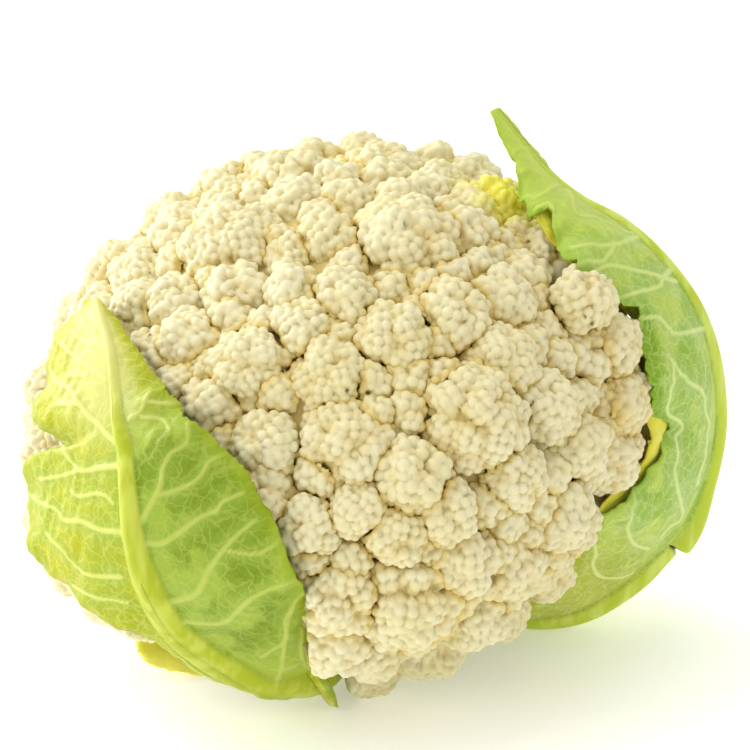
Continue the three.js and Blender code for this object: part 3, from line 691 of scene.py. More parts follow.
def floret_body(which, centres, radii, step):
    """One floret as a closed body: the part of it that shows, and a cone from that to its centre."""
    cap = shown_cap(which, centres, radii, step)
    if cap is None:
        return None
    shown, depth, quads, triangles = cap
    nearness = ramp(-2.0, 0.6, depth)
    centre = centres[which]
    radius = radii[which]
    random = np.random.default_rng(SEED + which)
    domes, dome_radii = floret_domes(radius, random)
    beads, bead_radii = bead_spots(centre, domes, dome_radii, which, centres, radii, random)
    smooth = np.maximum(reach_over(shown, domes, dome_radii).max(axis=1), DOME_FLOOR * radius)
    beaded = smooth
    if len(beads) > 0:
        beaded = np.maximum(bead_beside_bead(shown, beads, bead_radii), smooth - PIT_DEEP)
    under = ramp(*UNDER_FACING, -(shown @ TO_TOP))
    under = under * ramp(*UNDER_DEPTH, -((centre + radius * shown) @ TO_TOP))
    under = under * (1 - ramp(*EYE_FACING, shown @ TO_EYE))
    distance = (beaded - CREVICE * nearness) * (1 - under) + UNDER_SHARE * radius * under
    skin = centre + shown * distance[:, None]
    # Painted shade, laid on as colour: the creases between beads, and the gaps between domes and near other
    # florets.
    crease_shade = np.clip((smooth + CREASE_TOP - beaded) / CREASE_DEEP, 0, 1)
    between = np.clip((radius - GAP_TOP - smooth) / (GAP_SHARE * radius), 0, 1)
    gap_shade = np.maximum(GAP_STRENGTH * between, nearness)
    return {
        "points": np.vstack([skin, centre]), "quads": quads, "triangles": triangles,
        "crease_shade": np.append(crease_shade, 1), "gap_shade": np.append(gap_shade, 1), "under": np.append(under, 1),
    }


def floret_step(centre, radius, leaves):
    """How far apart a floret's points lie: close together where the front shows it."""
    outward = head_normal(centre)
    side = unit(np.cross(outward, TO_EYE + 0.01))
    other = np.cross(outward, side)
    if outward @ TO_EYE < FACES_BACK:
        return BACK_STEP
    spots = [outward + RING_OUT * turn for turn in (side, -side, other, -other)]
    hidden = [
        leaves.ray_cast(Vector(centre + radius * unit(spot)), Vector(TO_EYE))[0] is not None
        for spot in spots
    ]
    if all(hidden):
        return COVERED_STEP
    return FRONT_STEP if outward @ TO_EYE > FACES_FRONT else RIM_STEP


def above_floor(p, margin):
    """Whether points lie above the underside of the core by a margin."""
    down = -(p @ TO_TOP)
    sideways = np.linalg.norm(p + down[..., None] * TO_TOP, axis=-1)
    return down + CORE_FLOOR_SLOPE * sideways < CORE_FLOOR_MIDDLE - margin


def catmull_rom(points, s):
    """Places on a uniform Catmull-Rom curve through points, at shares s of its length in points."""
    points = np.asarray(points, float)
    last = len(points) - 1
    padded = np.vstack([2 * points[0] - points[1], points, 2 * points[-1] - points[-2]])
    at = np.minimum(np.floor(np.asarray(s) * last).astype(int), last - 1)
    w = (np.asarray(s) * last - at)[..., None]
    p0, p1, p2, p3 = (padded[at + k] for k in range(4))
    m1 = (p2 - p0) / 2
    m2 = (p3 - p1) / 2
    return (2 * w**3 - 3 * w**2 + 1) * p1 + (w**3 - 2 * w**2 + w) * m1 \
        + (3 * w**2 - 2 * w**3) * p2 + (w**3 - w**2) * m2


def margin_teeth(gone, side, seed):
    """How far a leaf's margin stands out at lengths gone along it, for teeth of size one."""
    saw = (gone / TOOTH_PITCH + 0.35 * np.sin(gone / TOOTH_SWAY + seed)) % 1.0
    swells = np.sin(gone / SHORT_SWELL + 1.3 * side) * np.sin(gone / LONG_SWELL)
    return TOOTH_HIGH * (saw - 0.5) + SWELL_HIGH * swells


def half_leaf(leaf, side, s, rib_columns, cells, seed):
    """One half of a leaf's middle surface, as a grid from base to tip and from the midrib outwards."""
    stations = np.array(leaf["stations"], float)
    middle = catmull_rom(stations[:, 0], s)
    edge = catmull_rom(stations[:, 1 + side], s)
    length = np.linalg.norm(np.diff(middle, axis=0), axis=1).sum()
    full = np.linalg.norm(edge - middle, axis=1)[:, None]
    width = full.copy()
    for nick_side, at, deep, wide in leaf.get("nicks", []):
        if nick_side == side:
            width -= deep * np.exp(-np.abs((s[:, None] - at) / wide) ** 3)
    narrowing = (1 - s) ** leaf.get("rib_curve", 1)
    rib_half = leaf["rib_half"][1] + (leaf["rib_half"][0] - leaf["rib_half"][1]) * narrowing
    rib = np.minimum(rib_half[:, None], leaf.get("rib_share", 0.6) * width)
    k = np.arange(rib_columns + cells + 1)[None, :]
    flank = rib + (width - rib) * (k - rib_columns) / cells
    out = np.where(k <= rib_columns, rib * k / rib_columns, flank)
    teeth = leaf["tooth"] * margin_teeth(s * length, side, seed)[:, None]
    out = out + teeth * ramp(0.8, 1, out / width) * np.minimum(1, width / 10)
    t = (out / full)[..., None]
    bend = (middle + edge) / 2
    bend = bend + head_normal(bend) * 2 * leaf["bulge"][side] * np.minimum(1, width / 30)
    p = (1 - t) ** 2 * middle[:, None] + 2 * t * (1 - t) * bend[:, None] + t ** 2 * edge[:, None]
    share = t[..., 0]
    phase = 2 * math.pi * leaf["waves"] * s
    wave = np.sin(phase + 2 * side)[:, None] * share ** 2
    fine = np.sin(SMALL_WAVE_TIMES * phase + 4 * side)[:, None] * share ** 4
    ruffle = leaf["ruffle"] * np.minimum(1, width / 20) * (wave + SMALL_WAVE * fine)
    p = p + head_normal(p) * ruffle[..., None]
    return {"p": p, "out": out, "rib": np.broadcast_to(rib, out.shape), "share": share}


def leaf_middle(leaf, rows, rib_columns, cells, seed):
    """A leaf's middle surface as a grid from base to tip and left to right, with what lies where on it."""
    s = np.linspace(0, 1, rows + 1)
    left, right = [half_leaf(leaf, side, s, rib_columns, cells, seed) for side in (0, 1)]
    grid = {key: np.concatenate([left[key][:, :0:-1], right[key]], axis=1) for key in left}
    columns = rib_columns + cells
    grid["s"] = np.broadcast_to(s[:, None], grid["out"].shape)
    grid["signed"] = np.sign(np.arange(-columns, columns + 1))[None, :] * grid["share"]
    return grid


def as_seen(p):
    """How far to the right and up points lie as the camera sees them, at its target's distance."""
    off = p - CAMERA_TARGET
    nearer = CAMERA_DISTANCE / (CAMERA_DISTANCE - off @ TO_EYE)
    right = CAMERA_TARGET[0] + off[..., 0] * nearer
    up = CAMERA_TARGET @ SIGHT_UP + off @ SIGHT_UP * nearer
    return np.stack([right, up], axis=-1)


def lift_to_leaf(grid, line, columns):
    """A line of places as the camera sees them, as a smooth line on the first columns of a leaf."""
    seen = as_seen(grid["p"][:, :columns])
    cells = []
    for place in line:
        off = np.linalg.norm(seen - np.array(place, float), axis=-1)
        cells.append(np.unravel_index(off.argmin(), off.shape))
    smooth = catmull_rom(np.array(cells, float), np.linspace(0, 1, 60 * len(cells)))
    return on_grid(grid["p"], smooth)


def on_grid(p, cells):
    """Points of a grid at fractional rows and columns."""
    i = np.clip(cells[:, 0], 0, p.shape[0] - 1.001)
    j = np.clip(cells[:, 1], 0, p.shape[1] - 1.001)
    i0 = i.astype(int)
    j0 = j.astype(int)
    a = (i - i0)[:, None]
    b = (j - j0)[:, None]
    top = p[i0, j0] * (1 - b) + p[i0, j0 + 1] * b
    bottom = p[i0 + 1, j0] * (1 - b) + p[i0 + 1, j0 + 1] * b
    return top * (1 - a) + bottom * a


def rule_veins(grid, spacing, sides, start, stop, half_width, seed):
    """Side veins that leave the midrib at a spacing and sweep towards the tip, with one fork each."""
    random = np.random.default_rng(seed)
    rows, columns = grid["out"].shape
    middle = columns // 2
    steps = np.linalg.norm(np.diff(grid["p"][:, middle], axis=0), axis=1)
    gone = np.concatenate([[0], np.cumsum(steps)])
    lines = []
    for side in sides:
        at = start * gone[-1] + spacing * random.uniform(0.2, 0.8)
        while at < stop * gone[-1]:
            row = np.searchsorted(gone, at)
            sweep = random.uniform(*SWEEP) * rows
            t = np.linspace(0, 1, 200)
            up = row + sweep * t ** SWEEP_CURVE
            up = up + VEIN_SWAY * rows * np.sin(5 * t + random.uniform(0, 6))
            vein = np.stack([up, middle + side * middle * VEIN_REACH * t], axis=1)
            lines.append([half_width, on_grid(grid["p"], vein)])
            fork = random.uniform(*FORK_AT)
            t = np.linspace(0, 1, 140)
            turn = random.choice([-1, 1]) * FORK_TURN * rows
            up = row + sweep * fork ** SWEEP_CURVE + turn * t ** 0.9 + sweep * 0.4 * t
            across = middle + side * middle * (fork + (FORK_REACH - fork) * t)
            lines.append([FORK_WIDTH * half_width, on_grid(grid["p"], np.stack([up, across], axis=1))])
            at += spacing * random.uniform(0.8, 1.2)
    return lines


def close_samples(width, line):
    """Places close together on a vein's line, and the vein's half width at each."""
    line = np.array(line)
    for _ in range(VEIN_SMOOTHING):
        line[1:-1] = (line[:-2] + 2 * line[1:-1] + line[2:]) / 4
    at = np.concatenate([[0], np.cumsum(np.linalg.norm(np.diff(line, axis=0), axis=1))])
    even = np.arange(0, at[-1], VEIN_SAMPLE)
    places = np.stack([np.interp(even, at, line[:, axis]) for axis in range(3)], axis=1)
    return places, width * np.interp(even, [0, at[-1]], [1, VEIN_TAPER])


def vein_relief(p, lines):
    """Where a leaf's points lie on a vein, and in the pale zone beside it, and how high the vein is."""
    sampled = [close_samples(width, line) for width, line in lines]
    samples = np.vstack([places for places, _ in sampled])
    widths = np.maximum(np.concatenate([half for _, half in sampled]), FINEST_VEIN)
    tree = KDTree(len(samples))
    for i, sample in enumerate(samples):
        tree.insert(sample, i)
    tree.balance()
    found = np.array([tree.find(point)[1:] for point in p.reshape(-1, 3)])
    width = widths[found[:, 0].astype(int)]
    away = found[:, 1]
    mask = np.exp(-(away / width) ** 2)
    zone = np.exp(-(away / (ZONE_LEAST + ZONE_TIMES * width)) ** 2) * np.clip(width / ZONE_FULL, 0, 1)
    return [values.reshape(p.shape[:-1]) for values in (mask, zone, mask * width)]


def leaf_body(leaf, rows, rib_columns, cells, seed, lines=None, rib_change=None):
    """A leaf as a closed body with a fine outer side, its veins and rib raised on it."""
    grid = leaf_middle(leaf, rows, rib_columns, cells, seed)
    p = grid["p"]
    blade = leaf.get("blade", BLADE)
    along = np.gradient(p, axis=0)
    across = np.gradient(p, axis=1)
    normal = unit(np.cross(across, along))
    veins = zone = raised = np.zeros(p.shape[:2])
    if lines is not None:
        veins, zone, raised = vein_relief(p, lines(grid))
    part = np.clip(grid["out"] / grid["rib"], 0, 1)
    high = leaf["rib_high"][0] + (leaf["rib_high"][1] - leaf["rib_high"][0]) * grid["s"]
    rib = (1 - part ** 2) ** leaf.get("rib_round", 0.5)
    thin = 1 - MARGIN_THINNING * ramp(0.8, 1, grid["share"])
    blister = np.zeros(p.shape[:2])
    for (height, size), draw in ((LARGE_BLISTER, seed), (SMALL_BLISTER, seed + 50)):
        blister = blister + height * wobble(p, size, draw)
    blister = blister * ramp(0.15, 0.4, grid["share"]) * (leaf["ruffle"] > 0)
    rise = blade / 2 * thin + high * rib + VEIN_RISE * raised * (1 - rib) + blister
    # Folds are only painted: a darker green where the margin turns in, partly its inner side and partly
    # painted shade.
    fold_inner_and_shade = np.zeros(p.shape[:2])
    for side, at, wide, share in leaf.get("shaded_folds", []):
        near = np.exp(-((grid["s"] - at) / wide) ** 4)
        fold_inner_and_shade = np.maximum(fold_inner_and_shade, near * ramp(share, share + 0.1, grid["signed"] * (2 * side - 1)))
    crack = np.zeros(p.shape[:2])
    if rib_change is not None:
        extra, crack = rib_change(grid, rib)
        rise = rise + extra
    outer = p + normal * rise[..., None]
    inner = (p - normal * (blade / 2 * thin - blister)[..., None])[::COARSE, ::COARSE]
    outer[..., 2] = np.maximum(outer[..., 2], TABLE + TABLE_GAP)
    inner[..., 2] = np.maximum(inner[..., 2], TABLE + TABLE_GAP + blade)
    fine = np.arange(outer[..., 0].size).reshape(outer.shape[:2])
    coarse = np.arange(inner[..., 0].size).reshape(inner.shape[:2]) + fine.size
    known = {
        "vein": veins, "zone": zone, "rib": rib, "crack": crack, "s": grid["s"], "signed": grid["signed"],
        "margin": ramp(0.86, 1.0, grid["share"]), "fold_inner_and_shade": fold_inner_and_shade,
    }
    body = {key: np.concatenate([v.ravel(), v[::COARSE, ::COARSE].ravel()]) for key, v in known.items()}
    body["points"] = np.vstack([outer.reshape(-1, 3), inner.reshape(-1, 3)])
    body["quads"] = np.vstack([grid_faces(fine), grid_faces(coarse)[:, ::-1]])
    body["triangles"] = wall_faces(grid_border(fine), grid_border(coarse))
    return body


def grid_faces(index):
    """The four-cornered faces of a grid of points."""
    corners = [index[:-1, :-1], index[:-1, 1:], index[1:, 1:], index[1:, :-1]]
    return np.stack(corners, axis=-1).reshape(-1, 4)


def grid_border(index):
    """The points round a grid's border, in order."""
    return np.concatenate([index[0, :-1], index[:-1, -1], index[-1, :0:-1], index[:0:-1, 0]])


def wall_faces(fine, coarse):
    """Faces between a fine border and the coarse one under it, which has every COARSE-th of its points."""
    after = np.roll(fine, -1)
    under = np.repeat(coarse, COARSE)
    low = np.stack([after, fine, under], axis=1)
    high = np.stack([np.roll(fine, -COARSE)[::COARSE], coarse, np.roll(coarse, -1)], axis=1)
    return np.vstack([low, high])


def closed_rings(rings, sides):
    """Faces round rings of points, and fans to a first and a last point that come after them."""
    index = np.arange(rings * sides).reshape(rings, sides)
    right = np.roll(index, -1, axis=1)
    quads = np.stack([index[:-1], index[1:], right[1:], right[:-1]], axis=-1).reshape(-1, 4)
    first = np.full(sides, rings * sides)
    last = first + 1
    fans = [
        np.stack([first, index[0], right[0]], axis=1),
        np.stack([right[-1], index[-1], last], axis=1),
    ]
    return {"quads": quads, "triangles": np.vstack(fans)}


def join_bodies(bodies):
    """Several bodies as one, with all that is known at their points."""
    joined = {key: [] for key in bodies[0]}
    offset = 0
    for body in bodies:
        for key, values in body.items():
            joined[key].append(values + offset if key in ("quads", "triangles") else values)
        offset += len(body["points"])
    return {key: np.concatenate(values) for key, values in joined.items()}


def triangle_count(body):
    """How many triangles a body's faces make."""
    return 2 * len(body["quads"]) + len(body["triangles"])


def make_piece(name, body, material, slot, *nodes):
    """A mesh object of a body, riding with the head and standing for its CAD nodes."""
    mesh = bpy.data.meshes.new(name)
    points = (body["points"] + HEAD_CENTRE) * MM
    mesh.vertices.add(len(points))
    mesh.vertices.foreach_set("co", points.astype(np.float32).ravel())
    corners = np.concatenate([body["quads"].ravel(), body["triangles"].ravel()])
    sizes = np.concatenate([np.full(len(body["quads"]), 4), np.full(len(body["triangles"]), 3)])
    mesh.loops.add(len(corners))
    mesh.loops.foreach_set("vertex_index", corners.astype(np.int32))
    mesh.polygons.add(len(sizes))
    mesh.polygons.foreach_set("loop_start", np.concatenate([[0], np.cumsum(sizes)[:-1]]).astype(np.int32))
    mesh.polygons.foreach_set("loop_total", sizes.astype(np.int32))
    mesh.update(calc_edges=True)
    mesh.validate()
    mesh.shade_smooth()
    for key, values in body.items():
        if key not in ("points", "quads", "triangles"):
            layer = mesh.attributes.new(key, "FLOAT", "POINT")
            layer.data.foreach_set("value", values.astype(np.float32))
    mesh.materials.append(material)
    piece = bpy.data.objects.new(name, mesh)
    bpy.context.scene.collection.objects.link(piece)
    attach(piece, "root")
    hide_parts(*nodes)
    return piece


def srgb(red, green, blue):
    """A colour given as 0 to 255 on screen, as a linear colour with alpha."""
    def linear(x):
        x = x / 255
        return x / 12.92 if x <= 0.04045 else ((x + 0.055) / 1.055) ** 2.4
    return (linear(red), linear(green), linear(blue), 1.0)


class Shader:
    """A material on Blender's principled surface, with short ways to add nodes to it."""

    def __init__(self, name):
        """Starts a material under a name."""
        self.material = bpy.data.materials.new(name)
        self.material.use_nodes = True
        self.surface = self.material.node_tree.nodes["Principled BSDF"]
        self.where = self.node("TexCoord", "Object")

    def give(self, socket, value):
        """Sets a socket to a plain value, or links another node's output to it."""
        if isinstance(value, bpy.types.NodeSocket):
            self.material.node_tree.links.new(value, socket)
        else:
            socket.default_value = value

    def node(self, kind, output, inputs=None, **settings):
        """Adds a node of a kind with its settings and inputs, and returns one of its outputs."""
        made = self.material.node_tree.nodes.new("ShaderNode" + kind)
        for setting, value in settings.items():
            setattr(made, setting, value)
        for socket, value in (inputs or {}).items():
            self.give(made.inputs[socket], value)
        return made.outputs[output]

    def stretched(self, times):
        """Places drawn together along the height, so that what is laid on them runs up the leaf."""
        return self.node("VectorMath", 0, {0: self.where, 1: (1.0, 1.0, 1.0 / times)}, operation="MULTIPLY")

    def attribute(self, name):
        """What the mesh knows at its points under a name."""
        return self.node("Attribute", "Fac", attribute_name=name)

    def noise(self, size_mm, detail=2.0, vector=None):
        """Soft noise in spots of a size."""
        inputs = {"Scale": 1 / (size_mm * MM), "Detail": detail, "Vector": vector or self.where}
        return self.node("TexNoise", "Fac", inputs)

    def cell_edges(self, size_mm, warp_mm):
        """How far places lie from the edges of warped cells, as a share of the cells' size."""
        warp = self.node("TexNoise", "Color", {"Scale": 1 / (1.6 * size_mm * MM), "Vector": self.where})
        shift = {0: warp, 1: (warp_mm * MM,) * 3, 2: self.where}
        moved = self.node("VectorMath", 0, shift, operation="MULTIPLY_ADD")
        cells = {"Scale": 1 / (size_mm * MM), "Vector": moved}
        return self.node("TexVoronoi", "Distance", cells, feature="DISTANCE_TO_EDGE")

    def span(self, value, low, high, to_low=0.0, to_high=1.0):
        """A smooth run from to_low, where a value is low, to to_high, where it is high."""
        inputs = {"Value": value, "From Min": low, "From Max": high, "To Min": to_low, "To Max": to_high}
        return self.node("MapRange", "Result", inputs, interpolation_type="SMOOTHSTEP")

    def math(self, operation, a, b=0.0):
        """The result of an operation on one or two values."""
        return self.node("Math", 0, {0: a, 1: b}, operation=operation)

    def mix(self, factor, a, b):
        """Colour a where the factor is nought, b where it is one, and a mixture between."""
        return self.node("Mix", 2, {0: factor, 6: a, 7: b}, data_type="RGBA")

    def painted(self, under, over, name, strength=1.0):
        """A colour with another laid over it, as thickly as the mesh says under a name."""
        return self.mix(self.math("MULTIPLY", self.attribute(name), strength), under, over)

    def bump(self, height, distance_mm, strength):
        """Gives the surface a fine relief."""
        inputs = {"Height": height, "Distance": distance_mm * MM, "Strength": strength}
        self.give(self.surface.inputs["Normal"], self.node("Bump", "Normal", inputs))

    def finish(self, colour, roughness, subsurface, radius_mm, specular, spread):
        """Gives the surface its colour and how it scatters light, and returns the material."""
        values = {
            "Base Color": colour, "Roughness": roughness, "Subsurface Weight": subsurface,
            "Subsurface Radius": spread, "Subsurface Scale": radius_mm * MM, "Specular IOR Level": specular,
        }
        for socket, value in values.items():
            self.give(self.surface.inputs[socket], value)
        return self.material


def curd_material():
    """The curd's skin: patches of cream, with yellow painted shade in the gaps between domes, beads and
    florets.
    """
    shader = Shader("curd_skin")
    patches = shader.span(shader.noise(26, 3), 0.35, 0.7)
    cream = shader.mix(patches, srgb(230, 223, 184), srgb(226, 216, 168))
    speckle = shader.math("MULTIPLY", shader.span(shader.noise(0.7, 2), 0.4, 0.75), 0.3)
    colour = shader.mix(speckle, cream, srgb(234, 226, 188))
    # Painted shade: a darker yellow in the gaps between domes and florets and in the creases between beads.
    colour = shader.painted(colour, srgb(224, 198, 114), "gap_shade", 0.9)
    colour = shader.painted(colour, srgb(209, 192, 124), "crease_shade", 0.75)
    colour = shader.painted(colour, srgb(252, 240, 80), "stain")
    colour = shader.painted(colour, srgb(222, 222, 168), "under")
    colour = shader.painted(colour, srgb(84, 56, 22), "speck")
    shader.bump(shader.noise(0.45, 3), 0.1, 0.3)
    return shader.finish(colour, 0.5, 0.3, 2.0, 0.28, (1.0, 0.9, 0.55))


def leaf_material(name, colours):
    """A leaf's skin: soft patches of green on each half, a pale bloom beside its veins, and its net."""
    right_half_too = {
        "right": colours["left"], "right_deep": colours["left_deep"], "vein_right": colours["vein_left"],
    }
    looks = {key: srgb(*colour) for key, colour in {**right_half_too, **colours}.items()}
    shader = Shader(name)
    patches = shader.span(shader.noise(15, 3), 0.42, 0.54)
    right_half = shader.span(shader.attribute("signed"), -0.15, 0.1)
    off_rib = shader.math("ABSOLUTE", shader.attribute("signed"))
    along = shader.attribute("s")
    # Each half has its own colours; on the green leaf the left half is lighter and yellower, painted light
    # from behind.
    left = shader.mix(patches, looks["left"], looks["left_deep"])
    right = shader.mix(patches, looks["right"], looks["right_deep"])
    green = shader.mix(right_half, left, right)
    green = shader.painted(green, looks["bloom"], "zone", 0.7)
    green = shader.mix(shader.span(along, 0.22, 0.4, 0.85, 0.0), green, looks["base"])
    tip = shader.mix(shader.span(off_rib, 0.2, 0.8), looks["tip"], looks["left"])
    green = shader.mix(shader.span(along, 0.62, 0.95, 0.0, 0.9), green, tip)
    # Painted shade and inner side where the margin turns in.
    green = shader.painted(green, looks["fold_inner_and_shade"], "fold_inner_and_shade", 0.85)
    vein = shader.mix(right_half, looks["vein_left"], looks["vein_right"])
    vein = shader.mix(shader.span(along, 0.6, 0.9), vein, looks["tip"])
    wide_net = shader.span(shader.cell_edges(4.2, 9), 0.0, 0.1, 0.4, 0.0)
    fine_net = shader.span(shader.cell_edges(1.7, 3), 0.0, 0.12, 0.16, 0.0)
    net = shader.math("MAXIMUM", wide_net, fine_net)
    netted = shader.mix(net, green, vein)
    veined = shader.mix(shader.span(shader.attribute("vein"), 0.15, 0.85, 0.0, 0.85), netted, vein)
    streaks = shader.span(shader.noise(5, 2, shader.stretched(6)), 0.4, 0.65)
    flesh = shader.mix(streaks, looks["rib"], looks["rib_pale"])
    flesh = shader.mix(shader.span(along, 0.7, 0.95), flesh, looks["tip"])
    ribbed = shader.mix(shader.span(shader.attribute("rib"), 0.0, 0.4), veined, flesh)
    edged = shader.painted(ribbed, looks["edge"], "margin", 0.5)
    colour = shader.mix(shader.span(shader.attribute("crack"), 0.35, 0.8), edged, srgb(88, 66, 34))
    shader.bump(shader.math("ADD", net, shader.noise(0.8, 3)), 0.22, 0.3)
    return shader.finish(colour, 0.42, 0.25, 2.0, 0.16, (0.9, 1.0, 0.4))


def stalk_material():
    """The pale skin of the stalk and the stubs."""
    shader = Shader("stalk_skin")
    patches = shader.span(shader.noise(9, 4), 0.35, 0.7)
    colour = shader.mix(patches, srgb(232, 234, 196), srgb(206, 218, 150))
    shader.bump(shader.noise(1.2, 4), 0.3, 0.4)
    return shader.finish(colour, 0.5, 0.25, 2.0, 0.4, (0.9, 1.0, 0.6))


def floor_material():
    """The white table, which glows a little so that it stays white in the picture."""
    shader = Shader("floor_white")
    colour = shader.mix(shader.noise(400, 1), srgb(252, 252, 250), srgb(255, 255, 255))
    shader.give(shader.surface.inputs["Emission Color"], (1.0, 0.99, 0.95, 1))
    shader.give(shader.surface.inputs["Emission Strength"], FLOOR_GLOW)
    return shader.finish(colour, 0.6, 0.0, 1.0, 0.2, (1.0, 1.0, 1.0))


def aimed(name, data, place, towards):
    """An object of the scene at a place, its own -Z turned towards a direction."""
    made = bpy.data.objects.new(name, data)
    made.location = place
    made.rotation_euler = Vector(towards).to_track_quat("-Z", "Y").to_euler()
    bpy.context.scene.collection.objects.link(made)
    return made


def camera():
    """The camera, which looks down at the head by SIGHT_SLOPE."""
    target = Vector((HEAD_CENTRE + CAMERA_TARGET) * MM)
    data = bpy.data.cameras.new("camera")
    data.sensor_width = SENSOR_WIDTH
    data.lens = SENSOR_WIDTH * CAMERA_DISTANCE / FRAME_WIDTH
    place = target + Vector(TO_EYE) * CAMERA_DISTANCE * MM
    bpy.context.scene.camera = aimed("camera", data, place, -Vector(TO_EYE))


def area_light(name, place, size, power, colour):
    """A round soft lamp, aimed at the middle of the head."""
    data = bpy.data.lights.new(name, "AREA")
    data.shape = "DISK"
    data.size = size
    data.energy = power
    data.color = colour
    aimed(name, data, place, Vector(LAMPS_AIM) - Vector(place))


def studio():
    """The white floor, the sky's even light and the lamps."""
    mesh = bpy.data.meshes.new("floor")
    corners = [(x * FLOOR_HALF, y * FLOOR_HALF, 0) for x, y in ((-1, -1), (1, -1), (1, 1), (-1, 1))]
    mesh.from_pydata(corners, [], [(0, 1, 2, 3)])
    mesh.materials.append(floor_material())
    floor = bpy.data.objects.new("floor", mesh)
    floor.location.z = -FLOOR_DROP
    bpy.context.scene.collection.objects.link(floor)
    world = bpy.data.worlds.new("studio")
    world.use_nodes = True
    sky = world.node_tree.nodes["Background"]
    sky.inputs["Color"].default_value = SKY_COLOUR
    sky.inputs["Strength"].default_value = SKY_STRENGTH
    bpy.context.scene.world = world
    for lamp in LAMPS:
        area_light(**lamp)
    bpy.context.scene.view_settings.view_transform = "Standard"


def core_body():
    """The core, its flesh swollen up between the florets, with branches as ridges on its underside."""
    turns = 220
    levels = 96
    polar = np.linspace(0, math.pi, levels + 1)[1:-1]
    turn = np.linspace(0, 2 * math.pi, turns, endpoint=False)
    polar, turn = np.meshgrid(polar, turn, indexing="ij")
    directions = turned_from(TO_TOP, turned_from(UPHILL, BACK_LEFT, turn), polar)
    flat = np.vstack([directions.reshape(-1, 3), [TO_TOP, -TO_TOP]])
    down = -(flat @ TO_TOP)
    sideways = np.sqrt(np.maximum(0, 1 - down ** 2))
    scale = FLESH_SCALE + (CORE_SCALE - FLESH_SCALE) * ramp(0.0, 0.35, down)
    lumps = FLESH_LUMP * wobble(flat * 80, FLESH_LUMP_SIZE, SEED)
    reach = scale / np.linalg.norm(head_measure(flat), axis=1) - FLESH_SUNK + lumps
    floor = CORE_FLOOR_MIDDLE / np.maximum(down + CORE_FLOOR_SLOPE * sideways, 1e-3)
    floor = np.where(down > -0.2, floor, 1e3)
    around = np.append(turn.ravel(), [0, 0])
    ridges = RIDGE_HIGH * np.abs(np.sin(around * BRANCH_COUNT * 1.5)) + 0.5 * wobble(flat * 60, 9, SEED)
    reach = np.minimum(reach, floor + ridges * ramp(0.1, 0.5, sideways) - CORE_FLOOR_RAISED)
    under = ramp(-0.2, 0.2, down)
    # The flesh between the florets takes the painted shade of gaps and creases, all but its underside.
    return {
        "points": flat * reach[:, None], **closed_rings(levels - 1, turns),
        "crease_shade": 0.6 * (1 - under), "gap_shade": 1 - under, "under": under,
    }


def branch(start, end, seed):
    """A round branch that narrows outwards, with soft ridges, closed at both ends."""
    sides = 24
    rings = 12
    axis = unit(end - start)
    side = unit(np.cross(axis, TO_TOP + 0.02))
    other = np.cross(axis, side)
    share = np.linspace(0, 1, rings + 1)[:, None]
    turn = np.linspace(0, 2 * math.pi, sides, endpoint=False)[None, :]
    ridges = BRANCH_RIDGE * np.sin(5 * turn + seed + 2 * share)
    radius = BRANCH_RADIUS * (1 + (BRANCH_TAPER - 1) * share) + ridges
    points = start + share[..., None] * (end - start) + radius[..., None] * turned_from(side, other, turn)
    faces = {key: corners[:, ::-1] for key, corners in closed_rings(rings + 1, sides).items()}
    return {"points": np.vstack([points.reshape(-1, 3), start, end]), **faces}


def stalk_body():
    """The trunk, cut level with the table, and its branches."""
    sides = 72
    rings = 40
    turn = np.linspace(0, 2 * math.pi, sides, endpoint=False)[None, :]
    course = catmull_rom(TRUNK_PROFILE, np.linspace(0, 1, rings + 1))
    out = course[:, :1] * (1 + 0.02 * np.sin(9 * turn) + 0.012 * np.sin(23 * turn + 1))
    below = np.broadcast_to(course[:, 1:], out.shape)
    points = -below[..., None] * TO_TOP + out[..., None] * turned_from(UPHILL, BACK_LEFT, turn)
    cut = points[-1] + TO_TOP * ((TABLE + TABLE_GAP - points[-1][:, 2]) / TO_TOP[2])[:, None]
    ends = [-TRUNK_PROFILE[0][1] * TO_TOP, cut.mean(axis=0)]
    trunk = {"points": np.vstack([points.reshape(-1, 3), cut, ends]), **closed_rings(rings + 2, sides)}
    bodies = [trunk]
    for i in range(BRANCH_COUNT):
        angle = 2 * math.pi * (i + 0.5 * (i % 2) * BRANCH_SWAY) / BRANCH_COUNT
        bodies.append(branch(round_stalk(*BRANCH_INNER, angle), round_stalk(*BRANCH_OUTER, angle), i))
    return join_bodies(bodies)


def stub_leaf(stub):
    """The cut base of a leaf that was trimmed away."""
    angle = math.radians(stub["angle"])
    side = np.cross(TO_TOP, round_stalk(0, 1, angle))
    stations = []
    for below, out in stub["course"]:
        rib = round_stalk(below, out, angle)
        across = STUB_HALF_WIDTH * side
        curl = STUB_CURL * TO_TOP
        stations.append([rib, rib - across + curl, rib + across + curl])
    return {**STUB_FORM, "stations": stations}


def from_rib(width, line):
    """A vein's line, begun a little earlier where it is wide enough to come straight from the midrib."""
    if width < MAIN_VEIN:
        return line
    first, second = np.array(line[0], float), np.array(line[1], float)
    return [first + MAIN_VEIN_START * unit(first - second), *line]


def traced_veins(grid, veins, columns):
    """Veins that the front shows, laid on the first columns of a leaf."""
    return [[width, lift_to_leaf(grid, from_rib(width, line), columns)] for width, line in veins]


def left_leaf_lines(grid):
    """The left leaf's veins: those that the front shows, and others by rule near its base."""
    traced = traced_veins(grid, LEFT_LEAF_VEINS, grid["out"].shape[1])
    ruled = rule_veins(grid, spacing=16, sides=(-1, 1), start=0.1, stop=0.3, half_width=0.9, seed=SEED)
    return traced + ruled


